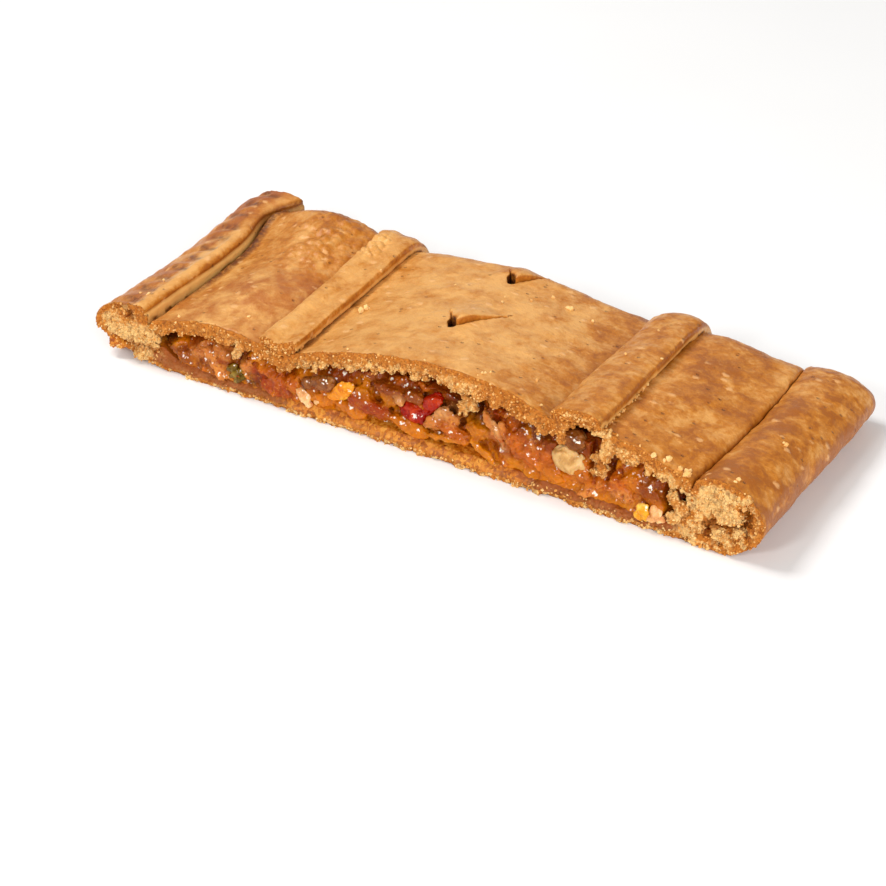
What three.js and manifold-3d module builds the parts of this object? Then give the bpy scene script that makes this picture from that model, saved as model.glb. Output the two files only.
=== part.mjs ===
// Half of a large flat pie (empanada), cut along its middle: a tray of dough with a crimped left border and a
// rolled right border, a filling, a puffed lid that comes down to a sealed seam at the back, and two dough strips.
// Millimetres, +Z up, X along the cut, the cut face towards -Y, resting on its flat underside.
import * as THREE from 'three';
import { mergeVertices } from 'three/addons/utils/BufferGeometryUtils.js';
import Module from 'manifold-3d';

const wasm = await Module();
wasm.setup();

// Driving dimensions
const LENGTH = 250; // crimped border to rolled border
const WIDTH = 90; // cut face to sealed back edge
const BASE_SHEET = 4.6; // thickness of the bottom dough
const LID_SHEET = 5.2; // thickness of the lid
const STRIP_SHEET = 4.6; // thickness of a strip laid on the lid
const LEFT_BORDER = 24.5; // width of the crimped border
const RIGHT_BORDER = 23; // width of the rolled border
const SEAM_HEIGHT = 10; // height of the seam between tray and lid at the back
const SHOULDER = 13; // how far in from the back the lid starts to turn down
const SEAM_LEDGE = 2; // how far the tray's rim stands out past the lid
const CLEARANCE = 0.4; // gap between neighbouring pieces

const LEFT = -LENGTH / 2;
const RIGHT = LENGTH / 2;
const CUT = -WIDTH / 2;
const BACK = WIDTH / 2;
const LEFT_WALL = LEFT + LEFT_BORDER;
const RIGHT_WALL = RIGHT - RIGHT_BORDER;
const LID_BACK = BACK - SEAM_LEDGE;
const TURN = LID_BACK - SHOULDER; // where the lid's flat top ends

// The lid is held down along four lines, from left to right: its height there at the cut and at the back,
// how far the line's back end lies to the left of its front end, and how late the height changes.
const PINCHES = [
  { x: LEFT_WALL + 2 * CLEARANCE, cut: 17.4, back: 24, lean: 0, bend: 2.6 },
  { x: -46.2, cut: 19.4, back: 23.4, lean: 3, bend: 1.4 },
  { x: 53.6, cut: 28, back: 19, lean: 4.5, bend: 1 },
  { x: RIGHT_WALL - CLEARANCE, cut: 22, back: 17.6, lean: 0, bend: 1 },
];
// Between those lines three panels puff up by so much, with full sides at the cut and gentle ones at the back.
const PUFFS = [
  { cut: 4.6, back: 7.6 },
  { cut: 10.6, back: 5.2 },
  { cut: 3.3, back: 3.6 },
];
const FULLNESS = { cut: 0.75, back: 1.4 };
// Two swells of the left panel
const SWELLS = [
  { x: -72, y: -21, rise: 1.9, reach: 13 },
  { x: -75, y: 21, rise: 1.6, reach: 15 },
];
const STRIPS = [
  { name: 'strip_left', pinch: 1, offset: -0.4, width: 14.8, waist: 0.1 },
  { name: 'strip_right', pinch: 2, offset: 9.6, width: 18, waist: 0.04 },
];

// Crimps pressed into the left border
const CRIMP_PITCH = 8.1;
const CRIMP_START = 1; // where one of them lies along the depth
const CRIMP_DEPTH = 1.5;
const CRIMP_WIDTH = 2;

// V-shaped vents cut through the lid, with their points towards the cut
const VENTS = [{ x: 3, y: -17.3, arms: [12, 21] }, { x: 2.4, y: 22.4, arms: [10, 14] }];
const VENT_SLOT = 1.6;
const VENT_ANGLE = THREE.MathUtils.degToRad(32);
const VENT_RISE = 1.3; // how far the flap inside a vent stands up

// Broken corner of the lid under the right strip's front end
const BREAK = { x: 66, z: 25, radius: 8, squash: 0.55 };

// Filling
const RECESS = { least: 1.8, most: 6.2, x: 4, reach: 30 }; // how far the filling stands back from the cut
const CAVITY = { x: 14, reach: 32, depth: 18, drop: 7.5 }; // hollow under the lid's middle, open at the cut
const LUMPS = 26;
const LUMP_SIZE = [3, 5];

const RAGGED = 0.9; // unevenness of the cut edges

// Crescent of small hollows in the rolled border's cut end, between its skin and its crumb
const HOLLOWS = { x: 111.5, z: 12.6, wide: 8.4, high: 8.2, from: -120, to: 30, count: 6, radius: 1.7, depth: 3.4 };

// Small numeric helpers
const { lerp, smoothstep } = THREE.MathUtils;
const depthShare = (y) => (y - CUT) / WIDTH;
const bell = (distance) => Math.exp(-(distance ** 2));

// The inner edges of both borders wander along the depth.
function foldShift(y) {
  return 1.7 * bell((y + 4) / 24) - 3.2 * bell((y - 28.5) / 10.5) + 1.2 * smoothstep(y, 36, 44);
}

function rollShift(y) {
  return 1.8 * Math.sin(Math.PI * THREE.MathUtils.clamp(depthShare(y), 0, 1));
}
const random = (() => {
  let state = 20;
  return () => {
    state = (state * 16807) % 2147483647;
    return state / 2147483647;
  };
})();

// Smooth repeatable unevenness between -1 and 1.
function wobble(a, b = 0) {
  return (Math.sin(0.61 * a + 1.3 * b) + Math.sin(1.37 * a - 0.7 * b + 2) + Math.sin(0.23 * a + 0.9 * b + 4)) / 3;
}

// Solids and meshes
function toSolid(geometry) {
  const bare = geometry.clone();
  bare.deleteAttribute('normal');
  bare.deleteAttribute('uv');
  const merged = mergeVertices(bare, 1e-4);
  return new wasm.Manifold(new wasm.Mesh({
    numProp: 3,
    vertProperties: merged.getAttribute('position').array,
    triVerts: new Uint32Array(merged.getIndex().array),
  }));
}

function toGeometry(solid) {
  const { vertProperties, triVerts } = solid.getMesh();
  const geometry = new THREE.BufferGeometry();
  geometry.setAttribute('position', new THREE.BufferAttribute(vertProperties, 3));
  geometry.setIndex(new THREE.BufferAttribute(triVerts, 1));
  geometry.computeVertexNormals();
  return geometry;
}

function pastry(name, geometry, colour, roughness) {
  const mesh = new THREE.Mesh(geometry, new THREE.MeshStandardMaterial({ color: colour, roughness, metalness: 0 }));
  mesh.name = name;
  return mesh;
}

// Moves every vertex of a geometry to the point that the function gives for it.
function reshape(geometry, place) {
  const position = geometry.getAttribute('position');
  const point = new THREE.Vector3();
  for (let i = 0; i < position.count; i += 1) {
    point.fromBufferAttribute(position, i);
    const moved = place(point);
    position.setXYZ(i, moved.x, moved.y, moved.z);
  }
  return geometry;
}

// A unit block whose three coordinates run from 0 to 1, bent into a piece by the function.
function bentBlock(segments, place) {
  const block = new THREE.BoxGeometry(1, 1, 1, ...segments).translate(0.5, 0.5, 0.5);
  return reshape(block, (p) => place(p.x, p.y, p.z));
}

// The lid's surface: across runs from 0 to 3 over the three panels, y is the depth.
function pinchAt(index, y) {
  const pinch = PINCHES[index];
  const share = Math.max(0, depthShare(y));
  const wander = [foldShift(y), 0, 0, rollShift(y)][index];
  return { x: pinch.x - pinch.lean * share + wander, z: lerp(pinch.cut, pinch.back, share ** pinch.bend) };
}

function panelAt(across, y) {
  const index = Math.min(Math.floor(across), PUFFS.length - 1);
  const share = across - index;
  const left = pinchAt(index, y);
  const right = pinchAt(index + 1, y);
  const puff = PUFFS[index];
  const depth = Math.max(0, depthShare(y));
  const bulge = Math.max(0, Math.sin(Math.PI * share)) ** lerp(FULLNESS.cut, FULLNESS.back, depth);
  const x = lerp(left.x, right.x, share);
  const swell = SWELLS.reduce((sum, s) => sum + s.rise * bell(Math.hypot(x - s.x, y - s.y) / s.reach), 0);
  const height = lerp(puff.cut, puff.back, depth) * bulge + (index === 0 ? swell * Math.min(1, 2 * bulge) : 0);
  return { x, z: lerp(left.z, right.z, smoothstep(share, 0, 1)) + height };
}

function acrossOf(x, y) {
  for (let index = 0; index < PUFFS.length; index += 1) {
    const from = pinchAt(index, y).x;
    const to = pinchAt(index + 1, y).x;
    if (x <= to || index === PUFFS.length - 1) return index + (x - from) / (to - from);
  }
  return 0;
}

// The flap between a vent's arms stands up a little.
function ventRise(x, y) {
  return VENTS.reduce((sum, vent) => {
    const reach = vent.arms[1] * 0.45;
    const distance = Math.hypot(x - vent.x, y - vent.y - reach) / reach;
    return sum + VENT_RISE * Math.exp(-2 * distance ** 2);
  }, 0);
}

// A point of the lid, so far outside its outer face. depth runs from 0 at the cut to 1 at the seam, and past
// the share FLAT it follows the quarter round of the shoulder.
const FLAT = 0.68;
function lidPoint(across, depth, outward) {
  const turn = Math.max(0, (depth - FLAT) / (1 - FLAT)) * Math.PI / 2;
  const flatY = lerp(CUT, TURN, Math.min(1, depth / FLAT));
  const y = flatY + (SHOULDER + outward) * Math.sin(turn);
  const top = panelAt(across, flatY);
  const crown = top.z + ventRise(top.x, flatY) + 0.25 * wobble(top.x * 0.3, flatY * 0.3);
  const z = SEAM_HEIGHT + CLEARANCE + (crown + outward - SEAM_HEIGHT) * Math.cos(turn);
  return new THREE.Vector3(panelAt(across, Math.min(y, LID_BACK)).x, y, z);
}

// Columns of the lid's mesh, shared out among the three panels by their width.
const COLUMNS = [10, 18, 8];
function acrossOfColumn(share) {
  let column = share * COLUMNS.reduce((sum, count) => sum + count);
  let panel = 0;
  while (panel < COLUMNS.length - 1 && column > COLUMNS[panel]) {
    column -= COLUMNS[panel];
    panel += 1;
  }
  const even = column / COLUMNS[panel];
  return panel + lerp(even, 0.5 - 0.5 * Math.cos(Math.PI * even), 0.5);
}

// The knife that trims a piece at the cut: a block in front of the cut with an uneven back face.
function knife(offset, phase) {
  const reach = 14;
  return toSolid(bentBlock([50, 1, 4], (u, v, w) => {
    const x = lerp(LEFT - 5, RIGHT + 5, u);
    const z = lerp(-5, 50, w);
    const edge = CUT + offset + RAGGED * wobble(x, z * 0.35 + phase);
    return new THREE.Vector3(x, v < 0.5 ? CUT - reach : edge, z);
  }));
}

// Tray: one outline of bottom sheet, crimped border and rolled border, drawn in the XZ plane and swept along Y.
function trayOutline() {
  const shape = new THREE.Shape();
  const lift = 30; // the left border's underside curves up over this length
  const foot = 9; // width of the thickened corner between sheet and border
  shape.moveTo(LEFT + lift, 0);
  shape.lineTo(RIGHT - 15, 0);
  shape.splineThru([
    [RIGHT - 8.5, 1.3], [RIGHT - 3, 6], [RIGHT - 0.3, 12], [RIGHT - 1.4, 17.8], [RIGHT - 6, 22.6],
    [RIGHT - 10.5, 25], [RIGHT - 15.2, 25.7], [RIGHT - 19.6, 24.8], [RIGHT_WALL + 0.5, 22.4],
  ].map(([x, z]) => new THREE.Vector2(x, z)));
  shape.lineTo(RIGHT_WALL, 20);
  shape.lineTo(RIGHT_WALL, SEAM_HEIGHT);
  shape.lineTo(RIGHT_WALL - foot, BASE_SHEET);
  shape.lineTo(LEFT_WALL + foot, BASE_SHEET);
  shape.lineTo(LEFT_WALL, SEAM_HEIGHT);
  shape.lineTo(LEFT_WALL - 0.8, 20.6);
  shape.splineThru([
    [LEFT_WALL - 1.7, 22.4], [LEFT_WALL - 4.6, 23.2], [LEFT_WALL - 7.4, 22], [LEFT + 11, 20.6], [LEFT + 6, 18.8],
    [LEFT + 2, 15.8], [LEFT + 0.3, 11.8], [LEFT + 2.8, 8.6], [LEFT + 9, 5.6], [LEFT + 17, 2.4], [LEFT + lift - 6, 0.4],
  ].map(([x, z]) => new THREE.Vector2(x, z)));
  shape.closePath();
  return shape;
}

// Dents across the outer slope of the left border, clear of its inner crest.
function crimp(x, y) {
  const nearest = Math.round((y - CRIMP_START) / CRIMP_PITCH) * CRIMP_PITCH + CRIMP_START;
  const press = Math.exp(-(((y - nearest) / CRIMP_WIDTH) ** 2));
  const reach = smoothstep(x, LEFT - 1, LEFT + 5) * (1 - smoothstep(x, LEFT_WALL - 10, LEFT_WALL - 6.5));
  return CRIMP_DEPTH * press * reach;
}

function trayGeometry() {
  const overrun = 4; // swept past the cut, to be trimmed by the knife
  const sweep = new THREE.ExtrudeGeometry(trayOutline(), {
    depth: WIDTH + overrun, steps: 30, curveSegments: 2, bevelEnabled: false,
  }).rotateX(Math.PI / 2).translate(0, BACK, 0);
  const rollDrop = 0.31; // the rolled border is lower at the back by this share
  const foldRise = 0.11; // and the crimped border higher
  const sag = 1.8; // the crimped border's outer slope hangs lower halfway along
  const backRise = 2.2; // and stands higher at the back
  const endRound = 9; // length of the rounded back ends of the borders
  reshape(sweep, ({ x, y, z }) => {
    const share = THREE.MathUtils.clamp(depthShare(y), 0, 1);
    const roll = smoothstep(x, RIGHT_WALL - 4, RIGHT_WALL + 2);
    const fold = 1 - smoothstep(x, LEFT_WALL - 1, LEFT_WALL + 1);
    const end = Math.max(0, (y - BACK + endRound) / endRound) ** 2;
    const upper = smoothstep(z, 12, 18);
    const drop = 0.08 * end * (1 - smoothstep(z, 18, 21));
    const height = z * (1 - rollDrop * share * roll - 0.1 * end * roll + (foldRise * share - drop) * fold);
    const slope = 1 - smoothstep(x, LEFT + 4, LEFT_WALL - 8);
    const outside = 1 - smoothstep(x, LEFT_WALL - 9, LEFT_WALL - 4);
    const hang = (sag * Math.sin(Math.PI * share) * slope - backRise * smoothstep(share, 0.5, 1) * outside) * upper;
    const inward = 4 * end * (0.7 * smoothstep(x, RIGHT - 12, RIGHT) - (1 - smoothstep(x, LEFT, LEFT + 10)));
    const outer = smoothstep(x, RIGHT_WALL + 3, RIGHT);
    const aside = outer * (0.4 + 2.8 * share + 0.5 * wobble(y * 0.2));
    const inner = foldShift(y) * smoothstep(x, LEFT + 6, LEFT_WALL - 6) * (1 - smoothstep(x, LEFT_WALL, LEFT_WALL + 30))
      + rollShift(y) * smoothstep(x, RIGHT_WALL - 30, RIGHT_WALL) * (1 - smoothstep(x, RIGHT_WALL + 3, RIGHT));
    return new THREE.Vector3(x - inward + aside + inner, y, height - hang - upper * crimp(x, y));
  });
  const rimThickness = 5;
  const rim = new THREE.BoxGeometry(RIGHT_WALL - LEFT_WALL + 4, rimThickness, SEAM_HEIGHT - 0.4, 24, 1, 2);
  rim.translate((LEFT_WALL + RIGHT_WALL) / 2, BACK - rimThickness / 2, SEAM_HEIGHT / 2 + 0.2);
  reshape(rim, ({ x, y, z }) => {
    const outer = y > BACK - 1 ? 1.3 * Math.abs(z / SEAM_HEIGHT - 0.5) * 2 + 0.5 * wobble(x * 0.2) : 0;
    return new THREE.Vector3(x, y - Math.max(0, outer), z > SEAM_HEIGHT / 2 ? z + 0.15 * wobble(x * 0.4) : z);
  });
  const crust = toSolid(sweep).add(toSolid(rim)).subtract(knife(0, 0));
  return toGeometry(Array.from({ length: HOLLOWS.count }, (_, i) => {
    const angle = THREE.MathUtils.degToRad(lerp(HOLLOWS.from, HOLLOWS.to, i / (HOLLOWS.count - 1)));
    const hollow = new THREE.IcosahedronGeometry(HOLLOWS.radius, 1).scale(1, HOLLOWS.depth / HOLLOWS.radius, 1);
    const x = HOLLOWS.x + HOLLOWS.wide * Math.cos(angle);
    return toSolid(hollow.translate(x, CUT, HOLLOWS.z + HOLLOWS.high * Math.sin(angle)));
  }).reduce((solid, hollow) => solid.subtract(hollow), crust));
}

// Lid: a sheet over the filling, with its vents cut through and a broken corner at the cut.
function lidGeometry() {
  const sheet = toSolid(bentBlock([36, 16, 1], (u, v, w) => {
    const point = lidPoint(acrossOfColumn(u), v, (w - 1) * LID_SHEET);
    if (v === 0) point.y -= 3;
    return point;
  }));
  const broken = new THREE.IcosahedronGeometry(BREAK.radius, 2).scale(1, 1, BREAK.squash);
  broken.translate(BREAK.x, CUT, BREAK.z);
  const opened = VENTS.reduce((solid, vent) => vent.arms.reduce((cut, arm, right) => {
    const slot = new THREE.BoxGeometry(VENT_SLOT, arm, 40).translate(0, arm / 2 - 0.4, 30);
    slot.rotateZ(right ? -VENT_ANGLE : VENT_ANGLE).translate(vent.x, vent.y, 0);
    return cut.subtract(toSolid(slot));
  }, solid), sheet);
  return toGeometry(opened.subtract(toSolid(broken)).subtract(knife(0.6, 3)));
}

// Strip: a band along one pinch line, with rounded long edges, thinning where it is pressed to the seam.
function stripGeometry({ pinch, offset, width, waist }) {
  const band = bentBlock([6, 18, 1], (u, v, w) => {
    const y = lerp(CUT, TURN, Math.min(1, v / FLAT));
    const edge = Math.abs(2 * u - 1);
    const rounded = 1 - 0.4 * edge ** 4;
    const pressed = 1 - 0.62 * smoothstep(v, FLAT, 1);
    const breadth = width * (1 - waist * Math.sin(Math.PI * depthShare(y)) + 0.04 * wobble(y * 0.15, pinch));
    const x = pinchAt(pinch, y).x + offset + (u - 0.5) * breadth;
    const outward = CLEARANCE + w * STRIP_SHEET * rounded * pressed;
    const point = lidPoint(acrossOf(x, y), v * 0.995, outward);
    if (v === 0) point.y -= 3;
    return point;
  });
  return toGeometry(toSolid(band).subtract(knife(-0.3, 7 + pinch)));
}

// Filling: a body between tray and lid, with lumps fused to the face that shows at the cut.
function recess(x) {
  return lerp(RECESS.least, RECESS.most, Math.exp(-(((x - RECESS.x) / RECESS.reach) ** 2)));
}

function cavityDrop(x, y) {
  const sideways = (x - CAVITY.x) / CAVITY.reach;
  const inwards = (y - CUT) / CAVITY.depth;
  return CAVITY.drop * Math.exp(-(sideways ** 2) - inwards ** 2);
}

function fillingGeometry() {
  const floor = BASE_SHEET + CLEARANCE;
  const rearReach = BACK - 5 - CLEARANCE - 2; // the tray's rim stands behind the filling
  const body = bentBlock([36, 8, 5], (u, v, w) => {
    const lid = lidPoint(acrossOfColumn(u), v, -(LID_SHEET + 2 * CLEARANCE));
    lid.x = Math.max(lid.x, LEFT_WALL + 2.2);
    const top = new THREE.Vector3(lid.x, lid.y, lid.z - cavityDrop(lid.x, lid.y));
    const under = new THREE.Vector3(lid.x * 0.9, lerp(CUT, rearReach, v), floor);
    const point = under.lerp(top, w);
    const front = 1 - smoothstep(v, 0, 0.12);
    point.y += front * (recess(point.x) + 1.3 * wobble(point.x * 0.9, point.z * 0.5));
    point.y = Math.min(point.y, rearReach);
    return point;
  });
  let solid = toSolid(body);
  for (let i = 0; i < LUMPS; i += 1) {
    const size = lerp(...LUMP_SIZE, random());
    const x = lerp(LEFT_WALL + 14, RIGHT_WALL - 12, (i + 0.5 + 0.5 * (random() - 0.5)) / LUMPS);
    const roof = lidPoint(acrossOf(x, CUT), 0, -LID_SHEET).z - cavityDrop(x, CUT);
    const z = lerp(floor + size, Math.max(floor + size, roof - size - 1.5), random());
    const lump = new THREE.IcosahedronGeometry(size, 0).scale(1.25, 0.9, 0.8);
    lump.rotateY(random() * 3).rotateX(random() - 0.5);
    lump.translate(x, CUT + recess(x) + 1.2, z);
    solid = solid.add(toSolid(lump));
  }
  return toGeometry(solid);
}

const CRUST_COLOUR = 0xd69a55;
const TRAY_COLOUR = 0xcb8a44;
const FILLING_COLOUR = 0xa85620;

const empanada = new THREE.Group();
empanada.add(pastry('tray', trayGeometry(), TRAY_COLOUR, 0.62));
empanada.add(pastry('filling', fillingGeometry(), FILLING_COLOUR, 0.3));
empanada.add(pastry('lid', lidGeometry(), CRUST_COLOUR, 0.55));
STRIPS.forEach((strip) => empanada.add(pastry(strip.name, stripGeometry(strip), CRUST_COLOUR, 0.55)));

// The origin is under the middle of the piece's box.
const box = new THREE.Box3().setFromObject(empanada);
const middle = box.getCenter(new THREE.Vector3());
empanada.position.set(-middle.x, -middle.y, -box.min.z);

export default empanada;
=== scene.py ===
"""Looks of a baked empanada half: crusts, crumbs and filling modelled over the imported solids."""

import sys
import logging
import math
from dataclasses import dataclass, field
from enum import Enum

import bpy
import numpy as np
from mathutils import Matrix, Vector, kdtree, noise


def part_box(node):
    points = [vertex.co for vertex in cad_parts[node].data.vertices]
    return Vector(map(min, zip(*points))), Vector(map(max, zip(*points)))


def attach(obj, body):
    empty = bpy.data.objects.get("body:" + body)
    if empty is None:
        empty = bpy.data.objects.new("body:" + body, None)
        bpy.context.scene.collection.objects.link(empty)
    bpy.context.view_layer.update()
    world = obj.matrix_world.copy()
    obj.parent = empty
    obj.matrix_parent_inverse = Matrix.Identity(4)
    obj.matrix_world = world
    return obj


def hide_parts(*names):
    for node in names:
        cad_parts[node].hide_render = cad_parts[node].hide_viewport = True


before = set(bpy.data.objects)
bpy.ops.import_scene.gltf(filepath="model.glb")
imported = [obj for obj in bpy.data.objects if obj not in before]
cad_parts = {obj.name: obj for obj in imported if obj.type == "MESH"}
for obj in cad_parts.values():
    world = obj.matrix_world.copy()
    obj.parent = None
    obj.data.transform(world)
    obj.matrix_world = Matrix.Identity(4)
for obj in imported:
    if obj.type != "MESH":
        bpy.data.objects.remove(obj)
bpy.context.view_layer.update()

LOG = logging.getLogger("empanada")
MM = 0.001

# Lines of the drawing, in millimetres
LEFT_EDGE = -125.0
LEFT_WALL = -100.5
RIGHT_WALL = 102.0
CUT = -45.0
BACK = 45.0
FILLING_LEFT = -98.3
BASE_SHEET = 4.6

# The most triangles that one piece may have
MOST_TRIANGLES = 196_000

Colour = tuple[float, float, float]
Place = tuple[float, float, float]
Pair = tuple[float, float]
Array = np.ndarray
Piece = bpy.types.Object
Material = bpy.types.Material
Node = bpy.types.Node
Socket = bpy.types.NodeSocket


def drawing_shift() -> Array:
    """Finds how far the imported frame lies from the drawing, in millimetres."""
    return np.array([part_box("filling")[0].x / MM - FILLING_LEFT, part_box("tray")[1].y / MM - BACK, 0.0])


SHIFT = drawing_shift()


def srgb(red: int, green: int, blue: int) -> Colour:
    """Turns a screen colour into the linear colour that shaders use.

    Args:
        red: Red from 0 to 255.
        green: Green from 0 to 255.
        blue: Blue from 0 to 255.

    Returns:
        The linear colour.
    """
    def linear(value: int) -> float:
        """Undoes the screen's curve for one channel."""
        share = value / 255
        return share / 12.92 if share <= 0.04045 else ((share + 0.055) / 1.055) ** 2.4

    return linear(red), linear(green), linear(blue)


def ease(value: Array, low: float, high: float) -> Array:
    """Gives a smooth step from 0 at low to 1 at high."""
    share = np.clip((value - low) / (high - low), 0.0, 1.0)
    return share * share * (3 - 2 * share)


def band(value: Array, rise: Pair, fall: Pair) -> Array:
    """Gives 1 between a rising and a falling smooth step, and 0 outside them."""
    return ease(value, *rise) * (1 - ease(value, *fall))


def bell(distance: Array) -> Array:
    """Gives a smooth hump that is 1 at 0 and nearly 0 at 2."""
    return np.exp(-distance ** 2)


def ripple(places: Array, size: float, seed: int) -> Array:
    """Gives smooth repeatable unevenness, mostly between -1 and 1.

    Args:
        places: Places in millimetres.
        size: The length of its waves in millimetres.
        seed: Which pattern it is.

    Returns:
        One value for each place.
    """
    draw = np.random.default_rng(seed)
    total = np.zeros(len(places))
    for _ in range(8):
        way = draw.normal(size=3)
        way *= 2 * math.pi / (size * draw.uniform(0.7, 1.6) * np.linalg.norm(way))
        total += np.sin(places @ way + draw.uniform(0, 2 * math.pi))
    return total / 3.2


def gaps_to(places: Array, spots: Array) -> Array:
    """Measures how far spots lie from the nearest of some places.

    Args:
        places: The places.
        spots: The spots to measure from.

    Returns:
        One distance for each spot.
    """
    tree = kdtree.KDTree(len(places))
    for index, place in enumerate(places):
        tree.insert(place, index)
    tree.balance()
    return np.array([tree.find(spot)[2] for spot in spots])


def fold_shift(y: Array) -> Array:
    """Gives how far the inner edge of the crimped border wanders at a depth."""
    return 1.7 * bell((y + 4) / 24) - 3.2 * bell((y - 28.5) / 10.5) + 1.2 * ease(y, 36, 44)


class Region(Enum):
    """Vertex groups and attributes that tell a surface's regions apart."""

    CUT = "cut"
    SKIN = "skin"
    SOFTEN = "soften"
    BLISTER = "blister"
    RAGGED = "ragged"
    FIBRE = "fibre"
    CRUMB = "crumb"
    RIM = "rim"
    TOAST = "toast"
    RUDDY = "ruddy"
    SCORCH = "scorch"
    PALE = "pale"
    SOAK = "soak"
    HOLLOW_SHADE = "hollow"
    DULL = "dull"
    SHINE = "shine"
    TINT = "tint"


class Grain(Enum):
    """Kinds of procedural texture that push a surface in and out."""

    CLOUDS = "CLOUDS"
    CELLS = "VORONOI"
    FIBRES = "WOOD"


@dataclass
class Surface:
    """Vertex places in the drawing's millimetres, and normals, of a mesh."""

    places: Array
    normals: Array

    @property
    def x(self) -> Array:
        """The places along the length."""
        return self.places[:, 0]

    @property
    def y(self) -> Array:
        """The places from the cut to the back."""
        return self.places[:, 1]

    @property
    def z(self) -> Array:
        """The heights."""
        return self.places[:, 2]

    @property
    def rightward(self) -> Array:
        """How far the surface faces the right, from -1 to 1."""
        return self.normals[:, 0]

    @property
    def forward(self) -> Array:
        """How far the surface faces the cut's side, from -1 to 1."""
        return -self.normals[:, 1]

    @property
    def upward(self) -> Array:
        """How far the surface faces up, from -1 to 1."""
        return self.normals[:, 2]

    def around(self, spot: Pair, wide: float, deep: float) -> Array:
        """Gives an oval hump about a spot seen from above."""
        return bell(np.hypot((self.x - spot[0]) / wide, (self.y - spot[1]) / deep))


# Modelling moves that act on one piece, selected alone

def pick(piece: Piece) -> None:
    """Selects a piece alone and makes it the active one.

    Args:
        piece: The piece.
    """
    if bpy.context.object and bpy.context.object.mode != "OBJECT":
        bpy.ops.object.mode_set(mode="OBJECT")
    bpy.ops.object.select_all(action="DESELECT")
    piece.select_set(True)
    bpy.context.view_layer.objects.active = piece


def copy_node(node: str, name: str) -> Piece:
    """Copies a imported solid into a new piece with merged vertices.

    Args:
        node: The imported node's name.
        name: The new piece's name.

    Returns:
        The new piece.
    """
    pick(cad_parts[node])
    bpy.ops.object.duplicate()
    piece = bpy.context.active_object
    piece.name = name
    piece.data.name = name
    piece.parent = None
    for key in list(piece.keys()):
        del piece[key]
    piece.data.materials.clear()
    bpy.ops.object.mode_set(mode="EDIT")
    bpy.ops.mesh.select_all(action="SELECT")
    bpy.ops.mesh.remove_doubles(threshold=0.01 * MM)
    bpy.ops.object.mode_set(mode="OBJECT")
    return piece


def apply(piece: Piece, kind: str, **settings: object) -> None:
    """Adds one modifier with its settings and applies it.

    Args:
        piece: The piece to change.
        kind: The modifier's type.
        **settings: Values of the modifier's own properties.
    """
    pick(piece)
    modifier = piece.modifiers.new(kind.lower(), kind)
    for key, value in settings.items():
        setattr(modifier, key, value)
    bpy.ops.object.modifier_apply(modifier=modifier.name)


def remesh(piece: Piece, voxel: float) -> None:
    """Rebuilds a piece's surface from even small faces of a size in millimetres."""
    apply(piece, "REMESH", mode="VOXEL", voxel_size=voxel * MM, adaptivity=0.0)


def soften(piece: Piece, rounds: int, region: Region | None = None) -> None:
    """Smooths a piece, or one region of it, for a number of rounds."""
    limit = region.value if region else ""
    apply(piece, "SMOOTH", factor=0.5, iterations=rounds, vertex_group=limit)


def roughen(piece: Piece, grain: Grain, size: float, height: float,
            region: Region | None = None, detail: int = 2, hard: bool = False) -> None:
    """Pushes a surface in and out with a procedural texture.

    Args:
        piece: The piece to change.
        grain: The kind of texture.
        size: The size of its features in millimetres.
        height: How far it pushes from lowest to highest, in millimetres.
        region: The vertex group it is limited to.
        detail: How many finer layers clouds have.
        hard: Whether clouds have creases.
    """
    texture = bpy.data.textures.new(f"{piece.name}_{grain.value.lower()}", type=grain.value)
    texture.noise_scale = size * MM
    if grain is Grain.CLOUDS:
        texture.noise_depth = detail
        texture.noise_type = "HARD_NOISE" if hard else "SOFT_NOISE"
    if grain is Grain.FIBRES:
        texture.wood_type = "BANDNOISE"
        texture.turbulence = 4.0
    apply(piece, "DISPLACE", texture=texture, texture_coords="LOCAL", mid_level=0.5,
          strength=height * MM, vertex_group=region.value if region else "")


def read(piece: Piece) -> Surface:
    """Reads a piece's vertices.

    Args:
        piece: The piece to read.

    Returns:
        Its places in the drawing's millimetres and its normals.
    """
    places, normals = np.empty((2, len(piece.data.vertices), 3), np.float32)
    piece.data.vertices.foreach_get("co", places.ravel())
    piece.data.vertices.foreach_get("normal", normals.ravel())
    return Surface(places.astype(float) / MM - SHIFT, normals.astype(float))


def move(piece: Piece, places: Array) -> None:
    """Puts a piece's vertices at new places in the drawing's millimetres."""
    piece.data.vertices.foreach_set("co", ((places + SHIFT) * MM).astype(np.float32).ravel())
    piece.data.update()


def group(piece: Piece, region: Region, weights: Array) -> None:
    """Stores weights as a vertex group, in steps of a thirtieth.

    Args:
        piece: The piece to mark.
        region: The group's region.
        weights: One weight for each vertex, from 0 to 1.
    """
    steps = 30
    old = piece.vertex_groups.get(region.value)
    if old:
        piece.vertex_groups.remove(old)
    new = piece.vertex_groups.new(name=region.value)
    levels = np.rint(np.clip(weights, 0, 1) * steps).astype(int)
    for level in range(1, steps + 1):
        members = np.nonzero(levels == level)[0]
        if len(members):
            new.add(members.tolist(), level / steps, "REPLACE")


def mark(piece: Piece, region: Region, values: Array) -> None:
    """Stores one number for each vertex as an attribute that materials read.

    Args:
        piece: The piece to change.
        region: The attribute's region.
        values: One number for each vertex.
    """
    attribute = piece.data.attributes.get(region.value)
    if attribute is None:
        attribute = piece.data.attributes.new(region.value, "FLOAT", "POINT")
    attribute.data.foreach_set("value", np.clip(values, 0, 1).astype(np.float32))


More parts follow.
